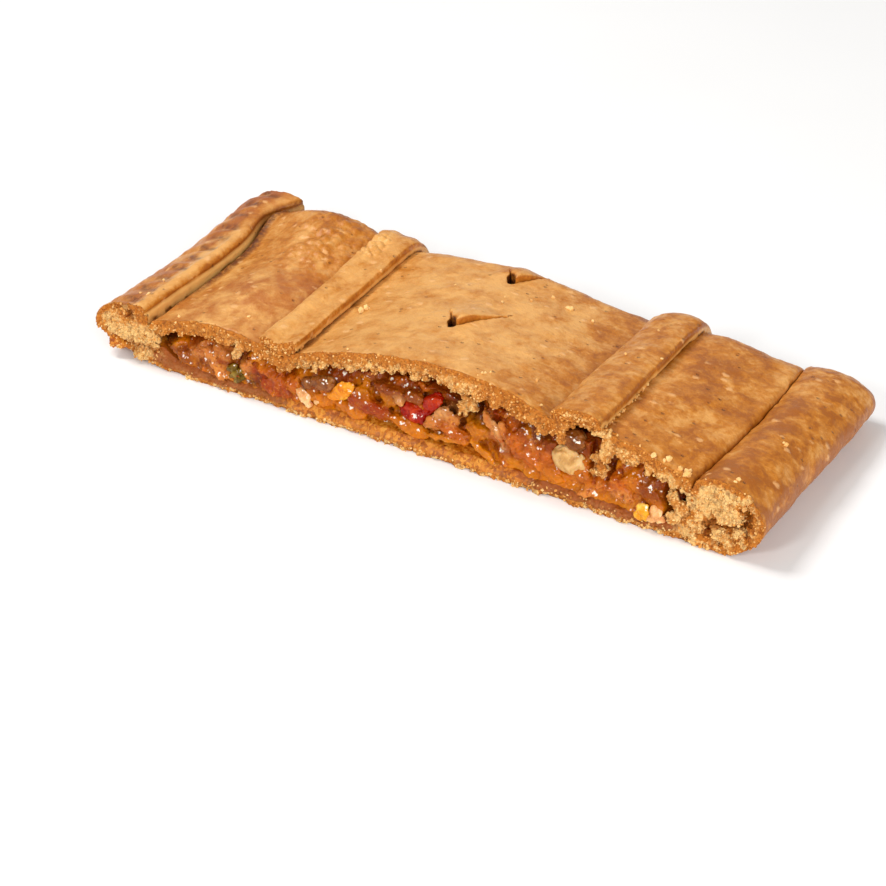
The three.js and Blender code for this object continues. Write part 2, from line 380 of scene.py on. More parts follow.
def paint(piece: Piece, region: Region, colours: Array) -> None:
    """Stores one colour for each vertex as an attribute that materials read.

    Args:
        piece: The piece to change.
        region: The attribute's region.
        colours: One colour for each vertex.
    """
    attribute = piece.data.attributes.new(region.value, "FLOAT_COLOR", "POINT")
    full = np.concatenate([colours, np.ones((len(colours), 1))], axis=1)
    attribute.data.foreach_set("color", full.astype(np.float32).ravel())


def choose_faces(piece: Piece, vertices: Array) -> int:
    """Selects the faces whose corners are all marked, ready for edit mode.

    Args:
        piece: The piece, which becomes the active one.
        vertices: One truth value for each vertex.

    Returns:
        How many faces are selected.
    """
    pick(piece)
    mesh = piece.data
    loops = np.empty(len(mesh.loops), np.int32)
    mesh.loops.foreach_get("vertex_index", loops)
    starts = np.empty(len(mesh.polygons), np.int32)
    mesh.polygons.foreach_get("loop_start", starts)
    chosen = np.logical_and.reduceat(vertices[loops], starts)
    mesh.vertices.foreach_set("select", np.zeros(len(mesh.vertices), bool))
    mesh.edges.foreach_set("select", np.zeros(len(mesh.edges), bool))
    mesh.polygons.foreach_set("select", chosen)
    bpy.ops.object.mode_set(mode="EDIT")
    bpy.ops.mesh.select_mode(type="FACE")
    return int(chosen.sum())


def refine(piece: Piece, vertices: Array) -> None:
    """Splits the faces between marked vertices once in each direction.

    Args:
        piece: The piece to change.
        vertices: One truth value for each vertex.
    """
    if choose_faces(piece, vertices):
        bpy.ops.mesh.subdivide(number_cuts=1)
    bpy.ops.object.mode_set(mode="OBJECT")


def thin_out(piece: Piece, vertices: Array, ratio: float) -> None:
    """Merges the faces between marked vertices, which nothing shows, down to a share of them.

    Args:
        piece: The piece to change.
        vertices: One truth value for each vertex.
        ratio: The share that is left.
    """
    if choose_faces(piece, vertices):
        bpy.ops.mesh.decimate(ratio=ratio)
    bpy.ops.object.mode_set(mode="OBJECT")


def triangles(piece: Piece) -> int:
    """Counts a piece's triangles."""
    return sum(len(polygon.vertices) - 2 for polygon in piece.data.polygons)


def trim(piece: Piece) -> None:
    """Merges a piece's flattest faces until it has no more triangles than a piece may have.

    Args:
        piece: The piece to change.
    """
    count = triangles(piece)
    if count > MOST_TRIANGLES:
        apply(piece, "DECIMATE", ratio=MOST_TRIANGLES / count)


def keep_front(piece: Piece, depth: float) -> None:
    """Slices off what lies deeper behind the cut than a depth in millimetres.

    Args:
        piece: The piece to change.
        depth: How far behind the cut it ends.
    """
    pick(piece)
    bpy.ops.object.mode_set(mode="EDIT")
    bpy.ops.mesh.select_all(action="SELECT")
    bpy.ops.mesh.bisect(plane_co=(0.0, (CUT + depth + SHIFT[1]) * MM, 0.0), plane_no=(0.0, 1.0, 0.0),
                        use_fill=True, clear_outer=True)
    bpy.ops.object.mode_set(mode="OBJECT")


def join(pieces: list[Piece], name: str) -> Piece:
    """Joins pieces into the first one.

    Args:
        pieces: The pieces.
        name: The joined piece's name.

    Returns:
        The joined piece.
    """
    pick(pieces[0])
    for other in pieces[1:]:
        other.select_set(True)
    if len(pieces) > 1:
        bpy.ops.object.join()
    piece = bpy.context.active_object
    piece.name = name
    piece.data.name = name
    return piece


def hollows(piece: Piece, rounds: int) -> Array:
    """Tells how deep each vertex lies below its surroundings, by smoothing a while.

    Args:
        piece: The piece to measure, which isn't changed.
        rounds: How wide the surroundings are.

    Returns:
        Shares from 0 on humps and flats to 1 in the deepest gaps.
    """
    before = read(piece)
    soften(piece, rounds)
    sunk = ((read(piece).places - before.places) * before.normals).sum(axis=1)
    move(piece, before.places)
    return ease(sunk, 0.03, 0.36)


def smooth_shade(piece: Piece) -> None:
    """Shades a piece's faces smooth."""
    pick(piece)
    bpy.ops.object.shade_smooth()


class Graph:
    """A node tree that is being wired."""

    def __init__(self, tree: bpy.types.NodeTree) -> None:
        """Keeps the tree to wire."""
        self.tree = tree

    def add(self, kind: str, settings: dict[str, object] | None = None,
            **sockets: object) -> Node:
        """Adds a node, sets its properties and fills its sockets.

        Args:
            kind: The node's type.
            settings: Values of the node's own properties.
            **sockets: Values or links by input name, with spaces written as underscores.

        Returns:
            The new node.
        """
        node = self.tree.nodes.new(kind)
        for key, value in (settings or {}).items():
            setattr(node, key, value)
        self.fill_all(node, **sockets)
        return node

    def fill_all(self, node: Node, **sockets: object) -> None:
        """Fills a node's inputs by name, with spaces written as underscores."""
        for key, value in sockets.items():
            self.fill(node, key.replace("_", " "), value)

    def fill(self, node: Node, name: str, value: object) -> None:
        """Sets one input of a node to a value, or links it to another node's output.

        Args:
            node: The node.
            name: The input's name.
            value: A number, a colour, or the output socket to link from.
        """
        socket = next(s for s in node.inputs if s.name == name and s.enabled)
        if isinstance(value, Socket):
            self.tree.links.new(value, socket)
        elif isinstance(value, tuple) and socket.type == "RGBA":
            socket.default_value = (*value, 1.0)
        else:
            socket.default_value = value

    def noise(self, where: Socket, size: float, detail: float = 3.0, rough: float = 0.55,
              twist: float = 0.0) -> Socket:
        """Adds soft noise with features of a size in millimetres and returns its value's socket."""
        node = self.add("ShaderNodeTexNoise", Vector=where, Scale=1 / (size * MM), Detail=detail,
                        Roughness=rough, Distortion=twist)
        return node.outputs["Fac"]

    def cells(self, where: Socket, size: float) -> Node:
        """Adds a field of round cells of a size in millimetres and returns its node."""
        return self.add("ShaderNodeTexVoronoi", Vector=where, Scale=1 / (size * MM))

    def turned(self, where: Socket, angle: float, stretch: Place) -> Socket:
        """Turns coordinates about the vertical by degrees, and makes a pattern finer along each axis."""
        spin = (0.0, 0.0, math.radians(angle))
        return self.add("ShaderNodeMapping", Vector=where, Rotation=spin, Scale=stretch).outputs["Vector"]

    def math(self, operation: str, first: object, second: object) -> Socket:
        """Adds a sum on two values.

        Args:
            operation: The kind of sum.
            first: A number or an output socket.
            second: A number or an output socket.

        Returns:
            The result's socket.
        """
        node = self.tree.nodes.new("ShaderNodeMath")
        node.operation = operation
        for socket, value in zip(node.inputs, (first, second)):
            if isinstance(value, Socket):
                self.tree.links.new(value, socket)
            else:
                socket.default_value = value
        return node.outputs[0]

    def blend(self, *shares: tuple[Socket, float]) -> Socket:
        """Adds up values, each times its own factor.

        Args:
            *shares: Pairs of a value and its factor.

        Returns:
            The sum's socket.
        """
        total = None
        for value, factor in shares:
            part = self.math("MULTIPLY", value, factor)
            total = part if total is None else self.math("ADD", total, part)
        return total

    def window(self, value: Socket, low: float, high: float, start: float = 0.0,
               end: float = 1.0) -> Socket:
        """Maps a value smoothly, so that low gives start and high gives end."""
        node = self.add("ShaderNodeMapRange", {"interpolation_type": "SMOOTHSTEP"}, Value=value,
                        From_Min=low, From_Max=high, To_Min=start, To_Max=end)
        return node.outputs["Result"]

    def mix(self, share: Socket, first: object, second: object) -> Socket:
        """Mixes two colours, given as values or sockets, by the share of the second one."""
        node = self.add("ShaderNodeMix", {"data_type": "RGBA"}, Factor=share, A=first, B=second)
        return next(s for s in node.outputs if s.enabled)

    def ramp(self, value: Socket, stops: list[tuple[float, Colour]]) -> Socket:
        """Turns a value into a colour by stops.

        Args:
            value: The value from 0 to 1.
            stops: Places and colours, in rising order.

        Returns:
            The colour's socket.
        """
        node = self.add("ShaderNodeValToRGB", Fac=value)
        elements = node.color_ramp.elements
        while len(elements) < len(stops):
            elements.new(1.0)
        for element, (place, colour) in zip(elements, stops):
            element.position = place
            element.color = (*colour, 1.0)
        return node.outputs["Color"]

    def attribute(self, region: Region, output: str = "Fac") -> Socket:
        """Reads a region's attribute and returns its value's or its colour's socket."""
        node = self.add("ShaderNodeAttribute", {"attribute_name": region.value})
        return node.outputs[output]

    def chance(self, cells: Node, channel: str, least: float) -> Socket:
        """Gives a mask of the cells whose random channel is at least a value."""
        split = self.add("ShaderNodeSeparateColor", Color=cells.outputs["Color"])
        return self.window(split.outputs[channel], least, least + 0.06)

    def bump(self, shader: Node, strength: float, reach: float, height: Socket) -> None:
        """Gives a shader the fine relief of a height, with a reach in millimetres."""
        node = self.add("ShaderNodeBump", Strength=strength, Distance=reach * MM, Height=height)
        self.fill(shader, "Normal", node.outputs["Normal"])


class SharedEffect:
    """A shader node group, built once and placed in each material that needs it."""

    def __init__(self, name: str, outputs: tuple[str, ...]) -> None:
        """Starts the group with coordinates as its input.

        Args:
            name: The group's name.
            outputs: The names of the values it puts out.
        """
        self.tree = bpy.data.node_groups.new(name, "ShaderNodeTree")
        self.tree.interface.new_socket(name="Vector", in_out="INPUT", socket_type="NodeSocketVector")
        for output in outputs:
            self.tree.interface.new_socket(name=output, in_out="OUTPUT", socket_type="NodeSocketFloat")
        self.graph = Graph(self.tree)
        self.where = self.graph.add("NodeGroupInput").outputs["Vector"]
        self.sink = self.graph.add("NodeGroupOutput")

    def emit(self, **values: Socket) -> None:
        """Wires the group's outputs by name."""
        for name, socket in values.items():
            self.tree.links.new(socket, self.sink.inputs[name])

    def place(self, graph: Graph, where: Socket) -> Node:
        """Places the group in a material's graph and returns its node."""
        return graph.add("ShaderNodeGroup", {"node_tree": self.tree}, Vector=where)


def baked_skin_effect() -> SharedEffect:
    """Builds the mottling of an egg-washed crust: tone, fine mottle, pores, pale flecks and low relief.

    Returns:
        The shared effect.
    """
    effect = SharedEffect("baked skin", ("Tone", "Mottle", "Pores", "Flecks", "Relief"))
    graph = effect.graph
    broad = graph.noise(effect.where, 24, 2, 0.5, 0.4)
    patches = graph.noise(effect.where, 7, 3.5, 0.56, 0.5)
    mottle = graph.noise(effect.where, 1.7, 3, 0.62, 0.4)
    fine = graph.noise(effect.where, 0.5, 2, 0.6)
    along = graph.turned(effect.where, 12, (1.0, 2.4, 1.6))
    wrinkles = graph.noise(along, 5.0, 3, 0.55, 0.8)
    tone = graph.blend((broad, 0.36), (patches, 0.64))
    dots = graph.cells(graph.turned(effect.where, 12, (1.0, 1.3, 1.0)), 4.4)
    pores = graph.math("MULTIPLY", graph.window(dots.outputs["Distance"], 0.06, 0.17, 1.0, 0.0),
                       graph.chance(dots, "Red", 0.55))
    spots = graph.cells(graph.turned(effect.where, 62, (1.0, 1.35, 1.0)), 5.6)
    ragged = graph.blend((spots.outputs["Distance"], 1.0), (mottle, 0.5))
    flecks = graph.math("MULTIPLY", graph.window(ragged, 0.34, 0.56, 1.0, 0.0),
                        graph.chance(spots, "Green", 0.6))
    relief = graph.blend((patches, 0.22), (wrinkles, 0.1), (mottle, 0.16), (fine, 0.1), (flecks, 0.12),
                         (pores, -0.5))
    effect.emit(Tone=tone, Mottle=mottle, Pores=pores, Flecks=flecks, Relief=relief)
    return effect


def crumb_effect() -> SharedEffect:
    """Builds the granular look of broken crumb: tone of the grains, dark holes and relief.

    Returns:
        The shared effect.
    """
    effect = SharedEffect("broken crumb", ("Tone", "Holes", "Relief"))
    graph = effect.graph
    grains = graph.cells(effect.where, 1.0)
    shade = graph.add("ShaderNodeSeparateColor", Color=grains.outputs["Color"]).outputs["Blue"]
    drift = graph.noise(effect.where, 5, 3)
    fine = graph.noise(effect.where, 0.5, 2)
    tone = graph.math("SUBTRACT", graph.blend((shade, 0.36), (drift, 0.9), (fine, 0.3)), 0.28)
    pits = graph.noise(effect.where, 1.4, 2)
    holes = graph.window(pits, 0.37, 0.49, 1.0, 0.0)
    relief = graph.blend((pits, 0.9), (grains.outputs["Distance"], -0.5), (fine, 0.5))
    effect.emit(Tone=tone, Holes=holes, Relief=relief)
    return effect


def moist_effect() -> SharedEffect:
    """Builds the unevenness of cooked moist food: tone, bright specks, a mask for painted glints and relief.

    Returns:
        The shared effect.
    """
    effect = SharedEffect("moist food", ("Tone", "Specks", "Glints", "Relief"))
    graph = effect.graph
    tone = graph.noise(effect.where, 4.5, 4, 0.62, 0.6)
    specks = graph.window(graph.noise(effect.where, 1.2, 2), 0.6, 0.7)
    relief = graph.blend((graph.noise(effect.where, 2.0, 3), 0.6), (graph.noise(effect.where, 0.8, 1), 0.5))
    # Mask for the painted highlights
    glints = graph.window(graph.noise(effect.where, 2.0, 2, 0.6), 0.57, 0.63)
    effect.emit(Tone=tone, Specks=specks, Glints=glints, Relief=relief)
    return effect


@dataclass
class Effects:
    """The shared effects that the finishes use."""

    skin: SharedEffect = field(default_factory=baked_skin_effect)
    crumb: SharedEffect = field(default_factory=crumb_effect)
    moist: SharedEffect = field(default_factory=moist_effect)


def start_material(name: str) -> tuple[Material, Graph, Node, Socket]:
    """Starts a material with its shader and object coordinates.

    Args:
        name: The material's name.

    Returns:
        The material, its graph, its shader node and the coordinates' socket.
    """
    material = bpy.data.materials.new(name)
    material.use_nodes = True
    graph = Graph(material.node_tree)
    shader = material.node_tree.nodes["Principled BSDF"]
    where = graph.add("ShaderNodeTexCoord").outputs["Object"]
    return material, graph, shader, where


@dataclass(frozen=True)
class CrustFinish:
    """Browned dough: a mottled skin that turns to crumb where it is cut."""

    name: str
    pale: Colour = srgb(224, 164, 90)
    tan: Colour = srgb(209, 144, 70)
    golden: Colour = srgb(190, 116, 32)
    brown: Colour = srgb(162, 90, 20)
    ruddy: Colour = srgb(168, 92, 42)
    scorched_and_shaded: Colour = srgb(78, 36, 14)
    raw: Colour = srgb(236, 180, 102)
    fleck: Colour = srgb(236, 180, 118)
    soaked: Colour = srgb(198, 112, 18)
    soaked_dark: Colour = srgb(150, 72, 8)
    soaked_light: Colour = srgb(226, 154, 56)
    crumb_light: Colour = srgb(246, 198, 124)
    crumb_middle: Colour = srgb(216, 142, 60)
    crumb_gold: Colour = srgb(200, 118, 30)
    crumb_hole_and_shade: Colour = srgb(118, 48, 8)
    roughness: float = 0.42

    def material(self, effects: Effects) -> Material:
        """Wires the crust's material.

        Args:
            effects: The shared effects.

        Returns:
            The material.
        """
        material, graph, shader, where = start_material(self.name)
        skin = effects.skin.place(graph, where)
        crumb = effects.crumb.place(graph, where)
        colour = self.skin_colour(graph, skin)
        edge = graph.blend((graph.attribute(Region.CRUMB), 1.0), (crumb.outputs["Tone"], 0.4))
        broken = graph.window(edge, 0.55, 0.8)
        colour = graph.mix(broken, colour, self.cut_colour(graph, crumb))
        soak = graph.attribute(Region.SOAK)
        stops = [(0.3, self.soaked_dark), (0.5, self.soaked), (0.72, self.soaked_light)]
        moist = graph.blend((crumb.outputs["Tone"], 1.0), (graph.attribute(Region.RUDDY), -0.55))
        colour = graph.mix(soak, colour, graph.ramp(moist, stops))
        dull = graph.blend((broken, 0.34), (soak, -0.22), (skin.outputs["Mottle"], 0.16))
        graph.fill_all(shader, Base_Color=colour, Roughness=graph.math("ADD", dull, self.roughness - 0.08),
                       Specular_IOR_Level=0.32, Coat_Weight=0.06, Coat_Roughness=0.25, Subsurface_Weight=0.05,
                       Subsurface_Radius=(1.0, 0.5, 0.2), Subsurface_Scale=1.2 * MM)
        dry = graph.math("MULTIPLY", broken, graph.window(soak, 0.2, 0.9, 1.0, 0.2))
        grains = graph.math("MULTIPLY", dry, crumb.outputs["Relief"])
        graph.bump(shader, 0.9, 1.2, graph.math("ADD", skin.outputs["Relief"], grains))
        return material

    def skin_colour(self, graph: Graph, skin: Node) -> Socket:
        """Wires the colour of the baked skin.

        Args:
            graph: The material's graph.
            skin: The placed skin effect.

        Returns:
            The colour's socket.
        """
        baked = graph.attribute(Region.TOAST)
        tone = graph.blend((skin.outputs["Tone"], 3.0), (skin.outputs["Mottle"], 1.0))
        drift = graph.math("SUBTRACT", tone, 1.95)
        swing = graph.math("ADD", graph.math("MULTIPLY", baked, 0.55), 0.68)
        toast = graph.math("ADD", baked, graph.math("MULTIPLY", drift, swing))
        stops = [(0.0, self.pale), (0.33, self.tan), (0.64, self.golden), (1.0, self.brown)]
        colour = graph.ramp(toast, stops)
        ruddy = graph.math("MULTIPLY", graph.attribute(Region.RUDDY),
                           graph.window(skin.outputs["Tone"], 0.3, 0.6))
        colour = graph.mix(ruddy, colour, self.ruddy)
        colour = graph.mix(graph.math("MULTIPLY", skin.outputs["Flecks"], 0.62), colour, self.fleck)
        colour = graph.mix(graph.attribute(Region.PALE), colour, self.raw)
        # Painted shade: the skin is browned in its crevices
        colour = graph.mix(graph.math("MULTIPLY", graph.attribute(Region.HOLLOW_SHADE), 0.4), colour, self.brown)
        # Dark marks: real scorch on the crimps and real pores, and painted shade in the vents' gaps, pits,
        # cracks and beside the walls
        scorch = graph.math("MULTIPLY", graph.attribute(Region.SCORCH),
                            graph.window(skin.outputs["Mottle"], 0.25, 0.6, 0.35, 1.0))
        colour = graph.mix(scorch, colour, self.scorched_and_shaded)
        return graph.mix(graph.math("MULTIPLY", skin.outputs["Pores"], 0.34), colour, self.scorched_and_shaded)

    def cut_colour(self, graph: Graph, crumb: Node) -> Socket:
        """Wires the colour of the broken crumb, golden at the skin and pale inside.

        Args:
            graph: The material's graph.
            crumb: The placed crumb effect.

        Returns:
            The colour's socket.
        """
        depth = graph.math("ADD", graph.attribute(Region.RIM),
                           graph.math("SUBTRACT", graph.math("MULTIPLY", crumb.outputs["Tone"], 1.2), 0.6))
        stops = [(0.0, self.crumb_light), (0.35, self.crumb_middle), (0.8, self.crumb_gold)]
        grain = graph.ramp(depth, stops)
        # The crumb's random dark holes, and painted shade in the crevices of the broken face
        gaps = graph.blend((crumb.outputs["Holes"], 0.4), (graph.attribute(Region.HOLLOW_SHADE), 0.74))
        return graph.mix(gaps, grain, self.crumb_hole_and_shade)


@dataclass(frozen=True)
class CrumbFinish:
    """Loose grains of broken dough."""

    name: str
    light: Colour = srgb(246, 204, 136)
    gold: Colour = srgb(222, 154, 70)
    brown: Colour = srgb(172, 98, 32)

    def material(self, effects: Effects) -> Material:
        """Wires the crumbs' material.

        Args:
            effects: The shared effects.

        Returns:
            The material.
        """
        material, graph, shader, where = start_material(self.name)
        crumb = effects.crumb.place(graph, where)
        shade = graph.math("ADD", graph.attribute(Region.TOAST),
                           graph.math("SUBTRACT", graph.math("MULTIPLY", crumb.outputs["Tone"], 0.4), 0.2))
        stops = [(0.05, self.light), (0.55, self.gold), (1.0, self.brown)]
        graph.fill_all(shader, Base_Color=graph.ramp(shade, stops), Roughness=0.7, Specular_IOR_Level=0.25,
                       Subsurface_Weight=0.12, Subsurface_Radius=(1.0, 0.5, 0.25), Subsurface_Scale=0.8 * MM)
        graph.bump(shader, 0.4, 0.3, crumb.outputs["Relief"])
        return material


@dataclass(frozen=True)
class MoistFinish:
    """Cooked filling: glossy, a little see-through, uneven in colour, with painted glints."""

    name: str
    deep: Colour
    middle: Colour
    light: Colour
    roughness: float = 0.24
    glow: float = 0.25
    speck: float = 0.25
    painted: bool = False
    glint: Colour = srgb(255, 246, 232)

    def material(self, effects: Effects) -> Material:
        """Wires the filling's material.

        Args:
            effects: The shared effects.

        Returns:
            The material.
        """
        material, graph, shader, where = start_material(self.name)
        moist = effects.moist.place(graph, where)
        stops = [(0.3, self.deep), (0.5, self.middle), (0.7, self.light)]
        colour = graph.ramp(moist.outputs["Tone"], stops)
        # The painted colour holds the lumps' colours and the painted shade in the mass's hollows
        if self.painted:
            colour = graph.mix(graph.window(moist.outputs["Tone"], 0.2, 0.8, 0.6, 1.0), colour,
                               graph.attribute(Region.TINT, "Color"))
        colour = graph.mix(graph.math("MULTIPLY", moist.outputs["Specks"], self.speck), colour, self.light)
        # Painted highlights: a near-white colour where the surface faces the glinting direction
        wet_and_glint = graph.math("MULTIPLY", graph.attribute(Region.SHINE), moist.outputs["Glints"])
        rough = graph.math("MULTIPLY", moist.outputs["Tone"], 0.2)
        if self.painted:
            rough = graph.blend((rough, 1.0), (graph.attribute(Region.DULL), 0.3))
        graph.fill_all(shader, Base_Color=graph.mix(wet_and_glint, colour, self.glint),
                       Roughness=graph.math("ADD", rough, self.roughness - 0.1), Specular_IOR_Level=0.2,
                       Subsurface_Weight=self.glow, Subsurface_Radius=(1.0, 0.35, 0.1),
                       Subsurface_Scale=1.6 * MM)
        graph.bump(shader, 0.5, 0.8, moist.outputs["Relief"])
        return material


def settle(piece: Piece, material: Material,
           node: str | None = None) -> None:
    """Gives a finished piece its material and its place in the frame.

    Args:
        piece: The finished piece.
        material: Its material.
        node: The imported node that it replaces.
    """
    piece.data.materials.append(material)
    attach(piece, "root")
    if node:
        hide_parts(node)
    LOG.info("%s: %d triangles", piece.name, triangles(piece))


@dataclass(frozen=True)
class Lump:
    """One irregular lump: its middle, its sizes, its turns in degrees and how uneven it is."""

    at: Place
    size: Place
    turn: Place = (0.0, 0.0, 0.0)
    uneven: float = 0.28

    def frame(self) -> Array:
        """Gives the matrix that turns the lump's own axes into the drawing's."""
        about_x, about_y, about_z = (Matrix.Rotation(math.radians(angle), 3, axis)
                                     for angle, axis in zip(self.turn, "XYZ"))
        return np.array(about_z @ about_y @ about_x)

    def distance(self, places: Array) -> Array:
        """Measures how far places lie from the lump's middle, as 1 at its surface."""
        local = (places - np.array(self.at)) @ self.frame()
        return np.linalg.norm(local / (np.array(self.size) / 2), axis=1)

    def blank(self, number: int, rounds: int = 4, bend: float = 0.0, jag: float = 0.0) -> Piece:
        """Models the lump from a round blank.

        Args:
            number: Its place in the list, which varies its unevenness.
            rounds: How finely the blank is divided.
            bend: How far its ends curl back, in millimetres.
            jag: How much its corners jut out at random.

        Returns:
            The piece, with its place in its mesh.
        """
        bpy.ops.object.select_all(action="DESELECT")
        bpy.ops.mesh.primitive_ico_sphere_add(subdivisions=rounds, radius=1.0, location=(0, 0, 0))
        piece = bpy.context.active_object
        offset = Vector((number * 3.7, number * 1.3, number * 2.1))
        places = np.array([vertex.co for vertex in piece.data.vertices])
        square = np.max(np.abs(places), axis=1) ** -0.15
        spots = [Vector(place) for place in places]
        rough = np.array([noise.noise(spot * 1.3 + offset) + 0.5 * noise.fractal(spot * 3.0 + offset, 1, 2, 3)
                          for spot in spots])
        rough += jag / max(self.uneven, 0.01) * np.random.default_rng(number).uniform(-1, 1, len(places))
        local = places * (square * (0.95 + self.uneven * rough))[:, None] * np.array(self.size) / 2
        local[:, 1] += bend * (2 * local[:, 0] / self.size[0]) ** 2
        move(piece, local @ self.frame().T + np.array(self.at))
        return piece


@dataclass(frozen=True)
class Fringe:
    """Random crumbs along the lower edge of a cut, or spread over its face between two heights."""

    span: Pair
    count: int
    sizes: Pair
    rise: Pair = (-0.5, 0.8)
    depth: Pair = (0.8, 3.0)
    spread: bool = False


@dataclass
class DoughPart:
    """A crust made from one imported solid: remeshed, softened, roughened and broken at its cut."""

    node: str
    name: str
    slot: str
    voxel: float = 0.55
    rounds: int = 40
    cut_depth: float = 2.6
    crag: float = 1.8
    grains: int = 150
    grain_sizes: Pair = (0.35, 0.9)
    seed: int = 5
    fringes: tuple[Fringe, ...] = ()
    chunks: tuple[Lump, ...] = ()
    crumbs: list[Lump] = field(init=False, default_factory=list)
    piece: Piece = field(init=False, default=None)

    def build(self) -> None:
        """Models the crust."""
        self.piece = copy_node(self.node, self.name)
        remesh(self.piece, self.voxel)
        self.carve()
        self.add_crumbs()
        self.shape()
        self.round_off()
        self.finish_form()
        thin_out(self.piece, self.hidden(read(self.piece)), 0.05)
        refine(self.piece, self.cut_weights(read(self.piece)) > 0.4)
        surface = read(self.piece)
        self.mark(surface)
        cut = self.cut_weights(surface)
        group(self.piece, Region.CUT, cut * (1 - self.calm(surface)))
        group(self.piece, Region.SKIN, self.skin_weights(surface) * (1 - cut))
        self.roughen()
        # Painted shade: how deep each vertex lies in a crevice, which darkens the skin and the crumb there
        mark(self.piece, Region.HOLLOW_SHADE, hollows(self.piece, 5))
        smooth_shade(self.piece)

    def dress(self, material: Material) -> None:
        """Gives the crust its material and its place in the frame, once nothing more is measured on it."""
        trim(self.piece)
        settle(self.piece, material, self.node)

    def round_off(self) -> None:
        """Smooths the facets away twice, the second time from a swollen form that makes up for shrinking."""
        before = read(self.piece)
        group(self.piece, Region.SOFTEN, self.soften_weights(before))
        soften(self.piece, self.rounds, Region.SOFTEN)
        move(self.piece, 2 * before.places - read(self.piece).places)
        soften(self.piece, self.rounds, Region.SOFTEN)
        soften(self.piece, 1)

    def roughen(self) -> None:
        """Makes the skin uneven and the cut granular."""
        roughen(self.piece, Grain.CLOUDS, 15, 0.9, Region.SKIN, 1)
        roughen(self.piece, Grain.CLOUDS, 4.5, 0.6, Region.SKIN, 2)
        roughen(self.piece, Grain.CLOUDS, 3.6, self.crag, Region.CUT, 2)
        roughen(self.piece, Grain.CELLS, 1.3, -0.8, Region.CUT)
        roughen(self.piece, Grain.CLOUDS, 0.8, 0.7, Region.CUT, 2)

    def carve(self) -> None:
        """Digs hollows into the cut before crumbs are added."""

    def edge_line(self, surface: Surface) -> tuple[Array, Array]:
        """Traces the lower edge of the cut.

        Args:
            surface: The crust's surface.

        Returns:
            Places along the length and the heights there.
        """
        near = surface.y < CUT + 1.5
        steps = np.rint(surface.x[near]).astype(int)
        lengths = np.arange(steps.min(), steps.max() + 1)
        heights = np.full(len(lengths), np.inf)
        np.minimum.at(heights, steps - lengths[0], surface.z[near])
        found = np.isfinite(heights)
        return lengths[found], heights[found]

    def add_crumbs(self) -> None:
        """Fuses the chunks and the random crumbs to the broken edge."""
        draw = np.random.default_rng(self.seed)
        surface = read(self.piece)
        edge = self.edge_line(surface)
        face = surface.places[(surface.forward > 0.7) & (surface.y < CUT + 2)]
        self.crumbs = list(self.chunks)
        for fringe in self.fringes:
            inside = face[(face[:, 0] > fringe.span[0]) & (face[:, 0] < fringe.span[1])]
            if fringe.spread:
                inside = inside[(inside[:, 2] > fringe.rise[0]) & (inside[:, 2] < fringe.rise[1])]
            for along in draw.uniform(*fringe.span, fringe.count):
                height = np.interp(along, *edge) + draw.uniform(*fringe.rise)
                if fringe.spread:
                    along, _, height = inside[draw.integers(len(inside))]
                at = (along, CUT + draw.uniform(*fringe.depth), height)
                size = draw.uniform(*fringe.sizes) * draw.uniform(0.7, 1.3, 3)
                self.crumbs.append(Lump(at, tuple(size), tuple(draw.uniform(-60, 60, 3)), 0.45))
        if self.crumbs:
            blanks = [crumb.blank(number, 1, 0.0, 0.3) for number, crumb in enumerate(self.crumbs)]
            self.piece = join([self.piece, *blanks], self.name)
            remesh(self.piece, self.voxel)

    def crumbled(self, surface: Surface) -> Array:
        """Tells how far each vertex belongs to the added crumbs.

        Args:
            surface: The crust's surface.

        Returns:
            Weights from 0 to 1.
        """
        weights = np.zeros(len(surface.places))
        order = np.argsort(surface.x)
        lengths = surface.x[order]
        for crumb in self.crumbs:
            reach = 0.8 * max(crumb.size)
            first, last = np.searchsorted(lengths, (crumb.at[0] - reach, crumb.at[0] + reach))
            near = order[first:last]
            gap = crumb.distance(surface.places[near])
            weights[near] = np.maximum(weights[near], 1 - ease(gap, 1.0, 1.35))
        return weights

    def cut_weights(self, surface: Surface) -> Array:
        """Tells how far each vertex belongs to the broken cut face or its crumbs."""
        depth = 1 - ease(surface.y, CUT + self.cut_depth, CUT + self.cut_depth + 1.5)
        return np.maximum(ease(surface.forward, 0.15, 0.6) * depth, self.crumbled(surface))

    def soften_weights(self, surface: Surface) -> Array:
        """Tells how much each vertex is smoothed: less near the cut."""
        return (0.08 + 0.92 * ease(surface.y, CUT + 1, CUT + 6)) * (1 - 0.97 * self.crumbled(surface))

    def calm(self, surface: Surface) -> Array:
        """Tells where the cut face is smooth instead of granular."""
        return np.zeros(len(surface.places))

    def skin_weights(self, surface: Surface) -> Array:
        """Tells where the baked skin is uneven."""
        return np.ones(len(surface.places))

    def skin_edge(self, surface: Surface) -> Array:
        """Tells which vertices are baked skin beside the cut, where the crumb is golden."""
        return (surface.forward < 0.35) & (surface.y < CUT + 6)

    def hidden(self, surface: Surface) -> Array:
        """Tells which vertices nothing shows."""
        return np.zeros(len(surface.places), bool)

    def shape(self) -> None:
        """Changes the form where the solid is too plain, before it is smoothed."""

    def finish_form(self) -> None:
        """Adds the crisp forms that smoothing would take away."""

    def rim(self, surface: Surface, cut: Array) -> Array:
        """Tells how close each vertex of the cut lies to the baked skin.

        Args:
            surface: The crust's surface.
            cut: The weights of the cut face.

        Returns:
            Shares from 1 at the skin to 0 inside.
        """
        edge = self.skin_edge(surface) & (self.crumbled(surface) < 0.3)
        near = cut > 0.02
        gaps = np.zeros(len(surface.places))
        gaps[near] = gaps_to(surface.places[edge], surface.places[near])
        return 1 - ease(gaps, 0.9, 2.8)

